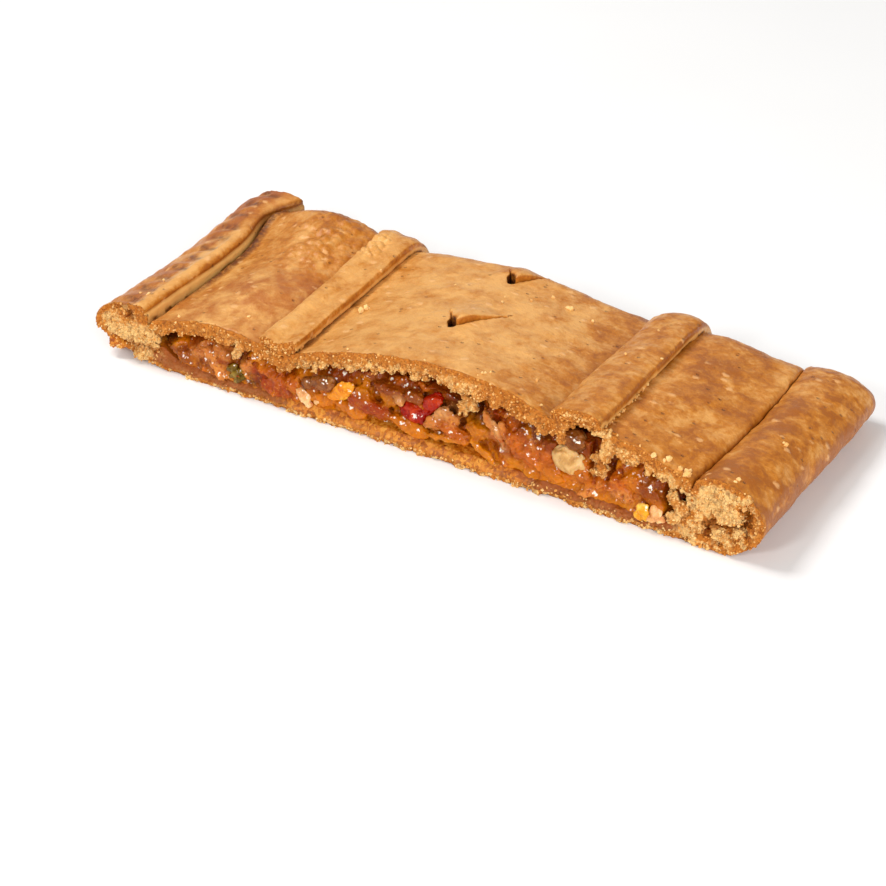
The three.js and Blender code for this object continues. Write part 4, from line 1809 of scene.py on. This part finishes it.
MASS: tuple[Morsel, ...] = (
    Morsel((-94.0, -40.6, 10.6), (11, 6, 5), (0, 8, 0), kind=Kind.DARK),
    Morsel((-87.0, -42.6, 8.2), (12, 5, 4.5), (0, 10, 0), kind=Kind.BROWN),
    Morsel((-80.6, -43.2, 11.2), (7.5, 3.2, 4.6), (10, -24, 0), 0.4, Kind.FISH),
    Morsel((-77.0, -42.0, 7.4), (9, 5, 5), (0, 12, 0), kind=Kind.BROWN),
    Morsel((-73.4, -44.2, 9.0), (11.5, 2.8, 4.2), (0, 48, 0), 0.3, Kind.FISH),
    Morsel((-70.0, -43.0, 14.2), (9, 4.5, 4.6), (0, 10, 0), 0.35, Kind.FISH),
    Morsel((-61.6, -43.6, 12.2), (7, 4, 4.6), (0, 14, 0), 0.35, Kind.FISH),
    Morsel((-58.4, -42.0, 8.2), (9, 5, 5), (0, 10, 0), kind=Kind.DARK),
    Morsel((-56.0, -43.4, 15.8), (10, 4, 4.6), (0, 12, 0), 0.2, Kind.AMBER),
    Morsel((-50.4, -43.4, 12.0), (9, 4, 5), (0, 18, 0), 0.3, Kind.STEWED),
    Morsel((-50.0, -43.4, 7.4), (13, 4, 5), (0, 8, 0), 0.2, Kind.RED_SAUCE),
    Morsel((-42.4, -43.0, 10.8), (7, 5, 6), (0, 0, 0), 0.2, Kind.STEWED),
    Morsel((-40.0, -42.0, 15.0), (9, 5, 5), (0, 0, 0), kind=Kind.AMBER),
    Morsel((-36.0, -42.8, 12.4), (5.6, 4.6, 5), (0, 0, 0), 0.2, Kind.BROWN),
    Morsel((-29.4, -42.6, 14.2), (10, 5, 5.4), (0, -8, 0), 0.15, Kind.BROWN),
    Morsel((-31.0, -42.6, 8.4), (13, 5, 5), (0, 0, 0), 0.2, Kind.GOLD),
    Morsel((-20.0, -42.4, 8.0), (14, 5, 5), (0, 8, 0), 0.2, Kind.GOLD),
    Morsel((-15.4, -41.8, 13.6), (8, 5, 7), (0, 30, 0), 0.25, Kind.AMBER),
    Morsel((-14.0, -42.6, 11.2), (20, 5, 6.6), (0, 14, 0), 0.18, Kind.RED_SAUCE),
    Morsel((-6.0, -40.6, 18.4), (13, 6, 5), (0, 6, 0), 0.2, Kind.BROWN),
    Morsel((-6.6, -41.0, 14.6), (8, 4.6, 5), (0, 16, 0), 0.25, Kind.AMBER),
    Morsel((-1.8, -42.0, 15.8), (3.4, 3, 4.2), (0, -20, 0), 0.4, Kind.BEIGE),
    Morsel((3.6, -41.0, 18.4), (8, 5, 5), (0, 8, 0), 0.2, Kind.BROWN),
    Morsel((2.0, -42.4, 8.2), (18, 5, 4.6), (0, 8, 0), 0.15, Kind.GOLD),
    Morsel((14.4, -42.0, 16.6), (7, 3.4, 4.4), (0, -20, 10), 0.5, Kind.BEIGE),
    Morsel((18.2, -42.0, 14.6), (5.6, 3.4, 5), (0, -46, 0), 0.5, Kind.FISH),
    Morsel((11.4, -42.6, 12.0), (7.6, 3.8, 4.4), (0, -12, 0), 0.45, Kind.FISH),
    Morsel((23.0, -39.6, 18.6), (11, 6, 8), (0, 12, 0), kind=Kind.DARK),
    Morsel((19.0, -42.6, 11.0), (13, 4.6, 4.6), (0, 18, 0), 0.25, Kind.STEWED),
    Morsel((26.6, -41.8, 14.4), (9, 4.6, 6), (0, 36, 0), 0.2, Kind.AMBER),
    Morsel((17.0, -43.8, 8.6), (18, 2.4, 2.8), (0, -6, 0), 0.15, Kind.AMBER),
    Morsel((30.0, -43.8, 8.4), (12, 2.6, 3.0), (0, 30, 0), 0.15, Kind.AMBER),
    Morsel((32.0, -42.6, 18.6), (2.8, 2.6, 9), (0, -26, 0), 0.3, Kind.FISH),
    Morsel((35.0, -43.0, 16.2), (2.6, 2.4, 10), (0, -24, 0), 0.3, Kind.BEIGE),
    Morsel((37.4, -43.0, 17.4), (2.6, 2.4, 8), (0, -30, 0), 0.3, Kind.FISH),
    Morsel((41.0, -42.4, 16.0), (9, 5, 7), (0, 30, 0), 0.4, Kind.STEWED),
    Morsel((45.6, -42.8, 12.4), (12, 5.5, 7), (0, 24, 0), 0.4, Kind.STEWED),
    Morsel((51.6, -42.4, 14.0), (9, 5, 6), (0, 22, 0), 0.4, Kind.STEWED),
    Morsel((50.0, -40.8, 18.6), (9, 5, 5), (0, 28, 0), kind=Kind.DARK),
    Morsel((54.0, -43.0, 9.0), (14, 5, 5), (0, 12, 0), 0.3, Kind.GOLD),
    Morsel((66.0, -43.0, 11.2), (10, 5, 6), (0, 0, 0), 0.3, Kind.GOLD),
    Morsel((70.0, -43.4, 11.2), (8, 4.4, 5), (0, 14, 0), 0.35, Kind.STEWED),
    Morsel((75.6, -43.8, 12.6), (9, 4, 5.4), (0, -20, 0), 0.35, Kind.STEWED),
    Morsel((79.0, -44.2, 9.2), (9, 4, 4), (0, 16, 0), 0.4, Kind.FISH),
    Morsel((82.4, -43.0, 14.2), (6, 4.6, 8), (0, -24, 0), 0.3, Kind.GOLD),
    Morsel((88.0, -42.8, 12.0), (12, 5, 7), (0, 34, 0), 0.2, Kind.BROWN),
    Morsel((90.6, -43.6, 9.0), (9, 4, 4), (0, 24, 0), 0.2, Kind.GOLD),
    Morsel((97.4, -45.2, 5.6), (2.6, 2.2, 3.0), (0, 30, 0), 0.4, Kind.BEIGE),
    Morsel((100.2, -45.2, 6.6), (2.2, 2.0, 2.4), (0, 0, 0), 0.4, Kind.BEIGE),
)


@dataclass(frozen=True)
class Choice:
    """A crisp piece of filling with a finish of its own."""

    name: str
    finish: MoistFinish
    morsels: tuple[Lump, ...]
    bend: float = 0.0
    jag: float = 0.0
    rough: float = 1.6


RED_PEPPER = MoistFinish("red pepper", srgb(100, 8, 1), srgb(156, 18, 2), srgb(196, 60, 12), 0.14, 0.1, 0.1)
GREEN_PEPPER = MoistFinish("green pepper", srgb(70, 48, 4), srgb(108, 78, 8), srgb(160, 128, 44), 0.1, 0.1)
YELLOW_PEPPER = MoistFinish("yellow pepper", srgb(196, 96, 6), srgb(228, 138, 18), srgb(246, 192, 74),
                            0.2, 0.2)
MUSHROOM = MoistFinish("mushroom", srgb(92, 42, 8), srgb(136, 74, 24), srgb(182, 122, 62), 0.16, 0.2)
LEEK = MoistFinish("leek", srgb(164, 110, 52), srgb(206, 156, 90), srgb(232, 196, 136), 0.3, 0.3)
PALE_FISH = MoistFinish("pale fish", srgb(198, 126, 70), srgb(226, 164, 102), srgb(248, 208, 152), 0.4, 0.2)
YELLOW_RIND = MoistFinish("yellow rind", srgb(214, 132, 18), srgb(240, 168, 40), srgb(252, 212, 110),
                          0.3, 0.25)
SAUCE = MoistFinish("filling mass", srgb(92, 36, 4), srgb(150, 66, 8), srgb(230, 150, 50),
                    0.16, 0.25, 0.35, painted=True)

CHOICES: tuple[Choice, ...] = (
    Choice("red_pepper", RED_PEPPER, (
        Lump((3.2, -42.0, 12.8), (13, 2.6, 5.8), (-18, 8, 0), 0.3),
        Lump((9.8, -41.6, 17.8), (9.4, 2.6, 5.4), (-16, -52, 6), 0.3)), 1.4),
    Choice("green_pepper", GREEN_PEPPER, (
        Lump((-66.4, -44.8, 9.8), (6.8, 2.4, 2.2), (0, -38, 0), 0.16),
        Lump((-64.8, -45.2, 8.2), (7.2, 2.6, 2.2), (0, -38, 0), 0.16),
        Lump((-63.2, -45.0, 6.6), (6.2, 2.6, 2.4), (0, -38, 0), 0.2)), 0.4, 0.0, 0.5),
    Choice("yellow_pepper", YELLOW_PEPPER, (
        Lump((-22.6, -44.4, 13.8), (12.5, 3.2, 5.0), (0, -44, 0), 0.3),
        Lump((-25.8, -44.4, 11.2), (6.0, 2.4, 2.8), (0, -6, 0), 0.3)), 0.9, 0.0, 0.6),
    Choice("mushroom", MUSHROOM, (
        Lump((61.2, -41.6, 21.6), (9.5, 6.5, 6.4), (0, 8, 0), 0.2),
        Lump((-30.0, -43.6, 14.6), (10.5, 4.4, 5.6), (0, -14, 0), 0.16),
        Lump((-36.2, -43.4, 12.8), (5.2, 3.8, 4.6), (0, 0, 0), 0.16)), 0.0, 0.0, 0.8),
    Choice("leek", LEEK, (
        Lump((59.4, -43.4, 15.0), (10.6, 5.6, 9.2), (0, 14, 0), 0.16),
        Lump((64.8, -43.2, 14.6), (3.0, 3.0, 6.6), (0, -12, 0), 0.3)), 0.0, 0.0, 1.0),
    Choice("pale_fish", PALE_FISH, (
        Lump((90.8, -45.2, 7.2), (4.8, 3.6, 4.6), (0, 30, 0), 0.4),
        Lump((92.0, -45.0, 5.4), (3.6, 3.0, 3.0), (0, -20, 0), 0.4),
        Lump((89.6, -45.2, 4.6), (3.2, 3.0, 2.8), (0, 10, 0), 0.4),
        Lump((-37.6, -44.2, 7.4), (6.2, 2.8, 4.6), (0, 34, 0), 0.4),
        Lump((-36.0, -44.4, 5.4), (3.4, 2.4, 3.0), (0, 60, 0), 0.4),
        Lump((-32.6, -44.2, 6.8), (3.0, 2.0, 2.2), (0, -30, 0), 0.4)), 0.0, 0.2),
    Choice("yellow_rind", YELLOW_RIND, (
        Lump((86.6, -45.2, 6.8), (4.4, 3.6, 4.6), (0, 8, 0), 0.4),
        Lump((85.4, -45.2, 4.6), (3.6, 3.2, 3.4), (0, 30, 0), 0.4),
        Lump((88.0, -45.4, 5.0), (2.8, 2.8, 2.8), (0, 0, 0), 0.4)), 0.0, 0.2),
)


@dataclass
class Filling:
    """The moist mass of fish, vegetables and sauce that shows at the cut, and the body behind it."""

    node: str = "filling"
    slot: str = "filling"
    depth: float = 15.0
    voxel: float = 0.42
    extra: int = 110
    crisp_voxel: float = 0.3
    sauce_low: Colour = srgb(208, 122, 10)
    sauce_high_shaded: Colour = srgb(140, 56, 4)
    seed: int = 41
    # The direction that painted highlights face, halfway between the view and the front light
    glint_way: Place = (0.19, -0.79, 0.58)
    roof: tuple[Array, Array] = None

    def build_body(self) -> Piece:
        """Models the hidden body behind the mass.

        Returns:
            The finished piece.
        """
        piece = copy_node(self.node, "filling_body")
        surface = read(piece)
        surface.places[:, 1] = np.maximum(surface.places[:, 1], CUT + self.depth - 3)
        move(piece, surface.places)
        return piece

    def fillers(self, piece: Piece) -> list[Morsel]:
        """Draws small random lumps over the face that shows.

        Args:
            piece: The front of the filling.

        Returns:
            The lumps.
        """
        draw = np.random.default_rng(self.seed)
        mesh = piece.data
        faces = [p for p in mesh.polygons if p.normal.y < -0.3 and p.center.y / MM < CUT + 10]
        areas = np.array([p.area for p in faces])
        kinds = (Kind.GOLD, Kind.STEWED, Kind.FISH, Kind.AMBER, Kind.BROWN, Kind.RED_SAUCE)
        lumps = []
        for number in draw.choice(len(faces), self.extra, p=areas / areas.sum()):
            face = faces[number]
            corners = [np.array(mesh.vertices[index].co) for index in face.vertices]
            shares = draw.dirichlet(np.ones(len(corners)))
            at = sum(s * c for s, c in zip(shares, corners)) / MM - SHIFT
            size = draw.uniform(1.4, 3.8, 3) * (1.5, 0.7, 0.8)
            kind = kinds[draw.choice(len(kinds), p=(0.26, 0.24, 0.16, 0.16, 0.1, 0.08))]
            lumps.append(Morsel(tuple(at), tuple(size), tuple(draw.uniform(-40, 40, 3)), 0.4, kind))
        return lumps

    def build_mass(self) -> Piece:
        """Models the fused front of the filling.

        Returns:
            The finished piece.
        """
        piece = copy_node(self.node, "filling_mass")
        keep_front(piece, self.depth)
        lumps = self.fillers(piece)
        blanks = [morsel.blank(number) for number, morsel in enumerate(MASS)]
        blanks += [morsel.blank(number, 3) for number, morsel in enumerate(lumps, 50)]
        piece = join([piece, *blanks], "filling_mass")
        remesh(piece, self.voxel)
        soften(piece, 3)
        surface = read(piece)
        thin_out(piece, (surface.y > CUT + 13) | (surface.z < BASE_SHEET + 0.2), 0.04)
        surface = read(piece)
        tints = self.paint(piece, surface, list(MASS) + lumps)
        self.sink(piece, surface)
        roughen(piece, Grain.FIBRES, 1.0, 0.8, Region.FIBRE)
        roughen(piece, Grain.CLOUDS, 3.4, 1.3, Region.CUT, 2, True)
        roughen(piece, Grain.CLOUDS, 1.1, 0.35, Region.CUT, 2)
        # Painted shade: the lumps' colours are darkened, reddish, in the mass's hollows
        shadow = hollows(piece, 14)[:, None] * np.array((0.38, 0.62, 0.75))
        paint(piece, Region.TINT, tints * (1 - shadow))
        self.wet_and_glint(piece, 0.95)
        smooth_shade(piece)
        return piece

    def wet_and_glint(self, piece: Piece, least: float) -> None:
        """Marks where painted glints go, from how closely the surface faces the glinting direction; the
        glints are painted highlights.
        """
        facing = read(piece).normals @ np.array(self.glint_way)
        mark(piece, Region.SHINE, ease(facing, least, 0.5 + 0.5 * least))

    def paint(self, piece: Piece, surface: Surface, morsels: list[Morsel]) -> Array:
        """Marks each vertex by the lumps it lies in or near.

        Args:
            piece: The mass.
            surface: Its surface.
            morsels: The lumps.

        Returns:
            The colour of each vertex.
        """
        wander = 0.22 * ripple(surface.places, 3.5, 8)
        sauce = np.full(len(surface.places), math.exp(-7 * 0.22))
        # Painted shade: the sauce turns darker upwards, under the lid
        low = (1 - ease(surface.z, 6.5, 11))[:, None]
        total = sauce.copy()
        colours = sauce[:, None] * (low * np.array(self.sauce_low) + (1 - low) * np.array(self.sauce_high_shaded))
        dull = 0.15 * sauce
        fibre = np.zeros(len(sauce))
        for morsel in morsels:
            gap = np.maximum(morsel.distance(surface.places) - 1 + wander, 0)
            weight = np.exp(-6 * gap)
            look = morsel.kind.value
            total += weight
            colours += weight[:, None] * np.array(look.colour)
            dull += weight * look.dull
            fibre += weight * look.fibrous
        mark(piece, Region.DULL, dull / total)
        shown = 1 - ease(surface.y, CUT + 8, CUT + 11)
        group(piece, Region.FIBRE, fibre / total * shown)
        group(piece, Region.CUT, shown)
        return colours / total[:, None]

    def sink(self, piece: Piece, surface: Surface) -> None:
        """Sets the mass back under the lid, where its shadow falls, and above the bottom sheet.

        Args:
            piece: The mass.
            surface: Its surface.
        """
        roof = np.interp(surface.x, *self.roof)
        front = 1 - ease(surface.y, CUT + 8, CUT + 14)
        under = ease(surface.z - roof, -5.0, 0.5)
        deep = 1 - ease(surface.x, -84, -76) + bell((surface.x - 8) / 15)
        low = 1 - ease(surface.z, BASE_SHEET + 0.5, BASE_SHEET + 3)
        slit = bell((surface.x - 22) / 8)
        surface.places[:, 1] += ((3.4 + 3.4 * deep) * under + (3.8 * slit - 1.3) * low) * front
        surface.places[:, 2] -= 0.8 * low * front
        move(piece, surface.places)

    def build_choice(self, choice: Choice) -> Piece:
        """Models the crisp pieces of one kind.

        Args:
            choice: The kind and its places.

        Returns:
            The finished piece.
        """
        rounds = 2 if choice.jag else 4
        made = [morsel.blank(number, rounds, choice.bend, choice.jag)
                for number, morsel in enumerate(choice.morsels, 20)]
        piece = join(made, choice.name)
        remesh(piece, self.crisp_voxel)
        roughen(piece, Grain.CLOUDS, 3.2, choice.rough, detail=2)
        roughen(piece, Grain.CLOUDS, 1.1, 0.5, detail=2)
        # Painted highlights on the crisp pieces
        self.wet_and_glint(piece, 0.94)
        smooth_shade(piece)
        return piece

    def dress(self, piece: Piece, material: Material) -> None:
        """Gives a piece its material and its place in the frame."""
        settle(piece, material, self.node)


# Places along the length and the depth of the crumbs that lie on the crust, and their sizes
LOOSE_CRUMBS: tuple[Place, ...] = (
    (-34.5, -11.5, 3.0), (6.7, 7.4, 1.5), (25.7, 20.9, 2.6), (-13.4, 11.9, 1.2), (6.2, 11.7, 1.2),
    (13.8, 15.8, 1.6), (-42.0, 10.0, 1.6), (41.8, -30.5, 1.4), (34.7, 18.2, 1.6), (18.3, 22.7, 1.4),
    (-88.7, -42.3, 1.5), (-65.4, -34.6, 1.5), (-111.9, -34.7, 1.6), (-106.9, -36.9, 1.6),
    (-107.4, -26.0, 1.2),
    (58.8, 19.0, 1.2), (58.8, -3.2, 1.4), (69.6, 1.9, 1.4), (88.6, -43.4, 2.2), (91.7, -42.0, 2.6),
    (114.5, -42.0, 1.8), (117.5, -12.5, 2.0), (84.0, -42.6, 1.4), (49.0, -42.0, 1.6), (-20.0, -42.4, 1.6),
    (9.0, -42.6, 1.4), (27.6, -42.0, 1.1), (28.0, -41.0, 1.1), (28.5, -40.0, 1.1), (29.0, -39.0, 1.1),
    (29.6, -38.2, 1.0), (98.6, -42.4, 2.4), (100.4, -42.8, 2.2), (99.4, -41.0, 2.0), (96.8, -42.6, 1.8),
)


@dataclass
class Grains:
    """Grains of broken dough, gathered as one mesh."""

    name: str
    slot: str
    seed: int
    places: list[Array] = field(default_factory=list)
    shades: list[Array] = field(default_factory=list)

    @staticmethod
    def blank() -> tuple[Array, Array]:
        """Makes the round blank that every grain is shaped from.

        Returns:
            Its vertices and its triangles.
        """
        bpy.ops.object.select_all(action="DESELECT")
        bpy.ops.mesh.primitive_ico_sphere_add(subdivisions=1, radius=1.0)
        piece = bpy.context.active_object
        places = np.array([vertex.co for vertex in piece.data.vertices])
        faces = np.array([polygon.vertices for polygon in piece.data.polygons])
        bpy.data.objects.remove(piece)
        return places, faces

    def scatter(self, part: DoughPart) -> None:
        """Strews a crust's grains over its cut face.

        Args:
            part: The crust.
        """
        count = part.grains
        least, most = part.grain_sizes
        draw = np.random.default_rng(self.seed + count)
        surface = read(part.piece)
        dry = part.calm(surface) < 0.3
        cut = np.nonzero((part.cut_weights(surface) > 0.5) & (surface.forward > 0.2) & dry)[0]
        rim = np.empty(len(surface.places), np.float32)
        part.piece.data.attributes[Region.RIM.value].data.foreach_get("value", rim)
        chosen = draw.choice(cut, count)
        size = least + (most - least) * draw.random(count) ** 2
        out = (draw.uniform(-0.25, 0.3, count) * size)[:, None] * surface.normals[chosen]
        shade = 0.2 + 0.45 * rim[chosen] + draw.normal(0, 0.24, count)
        self.strew(surface.places[chosen] + out + draw.normal(0, 0.15, (count, 3)), size, shade)

    def strew(self, spots: Array, sizes: Array, shades: Array) -> None:
        """Adds one grain at each spot.

        Args:
            spots: Places in the drawing's millimetres.
            sizes: The size of each grain.
            shades: How browned each grain is.
        """
        draw = np.random.default_rng(self.seed + len(self.places) + 1)
        count = len(spots)
        blank, _ = self.blank()
        shape = blank[None] * draw.uniform(0.65, 1.25, (count, len(blank), 1))
        shape *= draw.uniform(0.7, 1.25, (count, 1, 3))
        turn = np.linalg.qr(draw.normal(size=(count, 3, 3)))[0]
        grains = np.einsum("nij,nkj->nki", turn, shape) * (sizes / 2)[:, None, None] + spots[:, None]
        self.places.append(grains)
        self.shades.append(np.repeat(np.clip(shades, 0, 1), len(blank)))

    def drop(self, parts: list[DoughPart]) -> None:
        """Drops the loose crumbs on the crusts, each of one to three grains.

        Args:
            parts: The crusts that they can lie on.
        """
        draw = np.random.default_rng(self.seed + 1)
        tops = np.concatenate([read(part.piece).places for part in parts])
        for x, y, size in LOOSE_CRUMBS:
            under = tops[np.hypot(tops[:, 0] - x, tops[:, 1] - y) < 0.9]
            count = max(1, round(size / 1.1))
            away = draw.normal(0, 0.28, (count, 3)) * size * (1, 1, 0.3)
            spots = np.array((x, y, under[:, 2].max())) + away
            self.strew(spots, size * draw.uniform(0.55, 1.0, count), draw.uniform(0.0, 0.35, count))

    def sow(self, line: Array, count: int, sizes: Pair) -> None:
        """Adds grains at random along a line.

        Args:
            line: Places along the line.
            count: How many grains.
            sizes: The smallest and the largest grain.
        """
        draw = np.random.default_rng(self.seed + count)
        spots = line[draw.integers(len(line), size=count)] + draw.normal(0, 0.25, (count, 3))
        self.strew(spots, draw.uniform(*sizes, count), draw.uniform(0.1, 0.6, count))

    def build(self) -> Piece:
        """Models the grains as one mesh.

        Returns:
            The finished piece.
        """
        _, faces = self.blank()
        grains = np.concatenate(self.places)
        vertices = (grains.reshape(-1, 3) + SHIFT) * MM
        vertices[:, 2] = np.maximum(vertices[:, 2], 0.0)
        corners = (faces[None] + (np.arange(len(grains)) * grains.shape[1])[:, None, None]).reshape(-1, 3)
        mesh = bpy.data.meshes.new(self.name)
        mesh.from_pydata(vertices.tolist(), [], corners.tolist())
        mesh.update()
        piece = bpy.data.objects.new(self.name, mesh)
        bpy.context.scene.collection.objects.link(piece)
        mark(piece, Region.TOAST, np.concatenate(self.shades))
        return piece

    def dress(self, piece: Piece, material: Material) -> None:
        """Gives the grains their material and their place in the frame."""
        settle(piece, material)


@dataclass
class Studio:
    """Pale floor, soft lights and the camera."""

    aim: Place = (18.5, -50.4, 12.0)
    azimuth: float = 31.95
    elevation: float = 33.83
    roll: float = -1.08
    distance: float = 623.5
    focal_pixels: float = 2000.0
    frame_pixels: float = 886.0

    def build(self) -> None:
        """Sets up everything that isn't part of the object."""
        self.build_floor()
        self.build_lights()
        self.build_camera()

    def build_floor(self) -> None:
        """Lays a wide pale floor under the object."""
        bpy.ops.object.select_all(action="DESELECT")
        bpy.ops.mesh.primitive_plane_add(size=8.0, location=(0, 0, 0))
        floor = bpy.context.active_object
        floor.name = "floor"
        material, graph, shader, where = start_material("pale floor")
        stops = [(0.0, (0.86, 0.855, 0.85)), (1.0, (0.9, 0.895, 0.89))]
        graph.fill_all(shader, Base_Color=graph.ramp(graph.noise(where, 120, 2), stops), Roughness=0.8)
        floor.data.materials.append(material)

    def build_lights(self) -> None:
        """Hangs large soft lights and a bright surround."""
        world = bpy.data.worlds.new("surround")
        bpy.context.scene.world = world
        world.use_nodes = True
        background = world.node_tree.nodes["Background"]
        background.inputs["Color"].default_value = (1.0, 0.985, 0.96, 1.0)
        background.inputs["Strength"].default_value = 0.36
        self.light("key", (-1.0, -0.1, 1.6), 0.6, 22.0)
        self.light("fill", (1.0, -0.7, 0.6), 0.9, 11.0)
        self.light("front", (-0.1, -1.1, 0.75), 0.22, 5.0)
        self.light("back", (-0.5, 1.5, 0.9), 1.0, 1.5)
        bpy.context.scene.view_settings.view_transform = "Standard"

    def light(self, name: str, place: Place, size: float, power: float) -> None:
        """Hangs one square soft light that faces the object.

        Args:
            name: The light's name.
            place: Where it hangs, in metres.
            size: The length of its side in metres.
            power: Its power in watts.
        """
        data = bpy.data.lights.new(name, "AREA")
        data.energy = power
        data.size = size
        lamp = bpy.data.objects.new(name, data)
        lamp.location = place
        lamp.rotation_euler = (-Vector(place)).to_track_quat("-Z", "Y").to_euler()
        bpy.context.scene.collection.objects.link(lamp)

    def build_camera(self) -> None:
        """Places the camera at the photograph's viewing angle."""
        turn, tilt, roll = (math.radians(a) for a in (self.azimuth, self.elevation, self.roll))
        back = Vector((math.sin(turn) * math.cos(tilt), -math.cos(turn) * math.cos(tilt), math.sin(tilt)))
        right = Vector((math.cos(turn), math.sin(turn), 0.0))
        up = back.cross(right)
        rolled = right * math.cos(roll) + up * math.sin(roll)
        upright = -right * math.sin(roll) + up * math.cos(roll)
        data = bpy.data.cameras.new("camera")
        data.sensor_width = 36.0
        data.lens = self.focal_pixels / self.frame_pixels * data.sensor_width
        data.clip_start = 0.01
        camera = bpy.data.objects.new("camera", data)
        place = Vector(self.aim) * MM + back * self.distance * MM
        turned = Matrix((rolled, upright, back)).transposed().to_4x4()
        camera.matrix_world = Matrix.Translation(place) @ turned
        bpy.context.scene.collection.objects.link(camera)
        bpy.context.scene.camera = camera


def main() -> None:
    """Builds and dresses every piece in order."""
    logging.basicConfig(level=logging.INFO, format="%(name)s: %(message)s", stream=sys.stdout)
    Studio().build()
    effects = Effects()
    crust = CrustFinish("baked crust").material(effects)
    tray = Tray()
    lid = Lid()
    for part in (tray, lid):
        part.build()
    strips = [Strip("strip_left", "strip_left_crust", toast=0.2, below=lid.piece, patch=(-52.5, 22.0)),
              Strip("strip_right", "strip_right_crust", toast=0.5, below=lid.piece)]
    for strip in strips:
        strip.build()
    filling = Filling(roof=lid.edge_line(read(lid.piece)))
    mass = SAUCE.material(effects)
    for piece in (filling.build_body(), filling.build_mass()):
        filling.dress(piece, mass)
    for choice in CHOICES:
        filling.dress(filling.build_choice(choice), choice.finish.material(effects))
    crumb = CrumbFinish("loose crumbs").material(effects)
    upper = Grains("lid_grains", "lid_crust", 11)
    for part in (lid, *strips):
        upper.scatter(part)
    upper.drop([lid, tray, *strips])
    upper.sow(strips[1].torn_foot((-43, -10)), 46, (0.5, 1.5))
    upper.sow(strips[0].torn_foot((-44, -30)), 14, (0.5, 1.2))
    lower = Grains("tray_grains", "tray_crust", 12)
    lower.scatter(tray)
    for grains in (upper, lower):
        grains.dress(grains.build(), crumb)
    for part in (tray, lid, *strips):
        part.dress(crust)


if __name__ == "__main__":
    main()
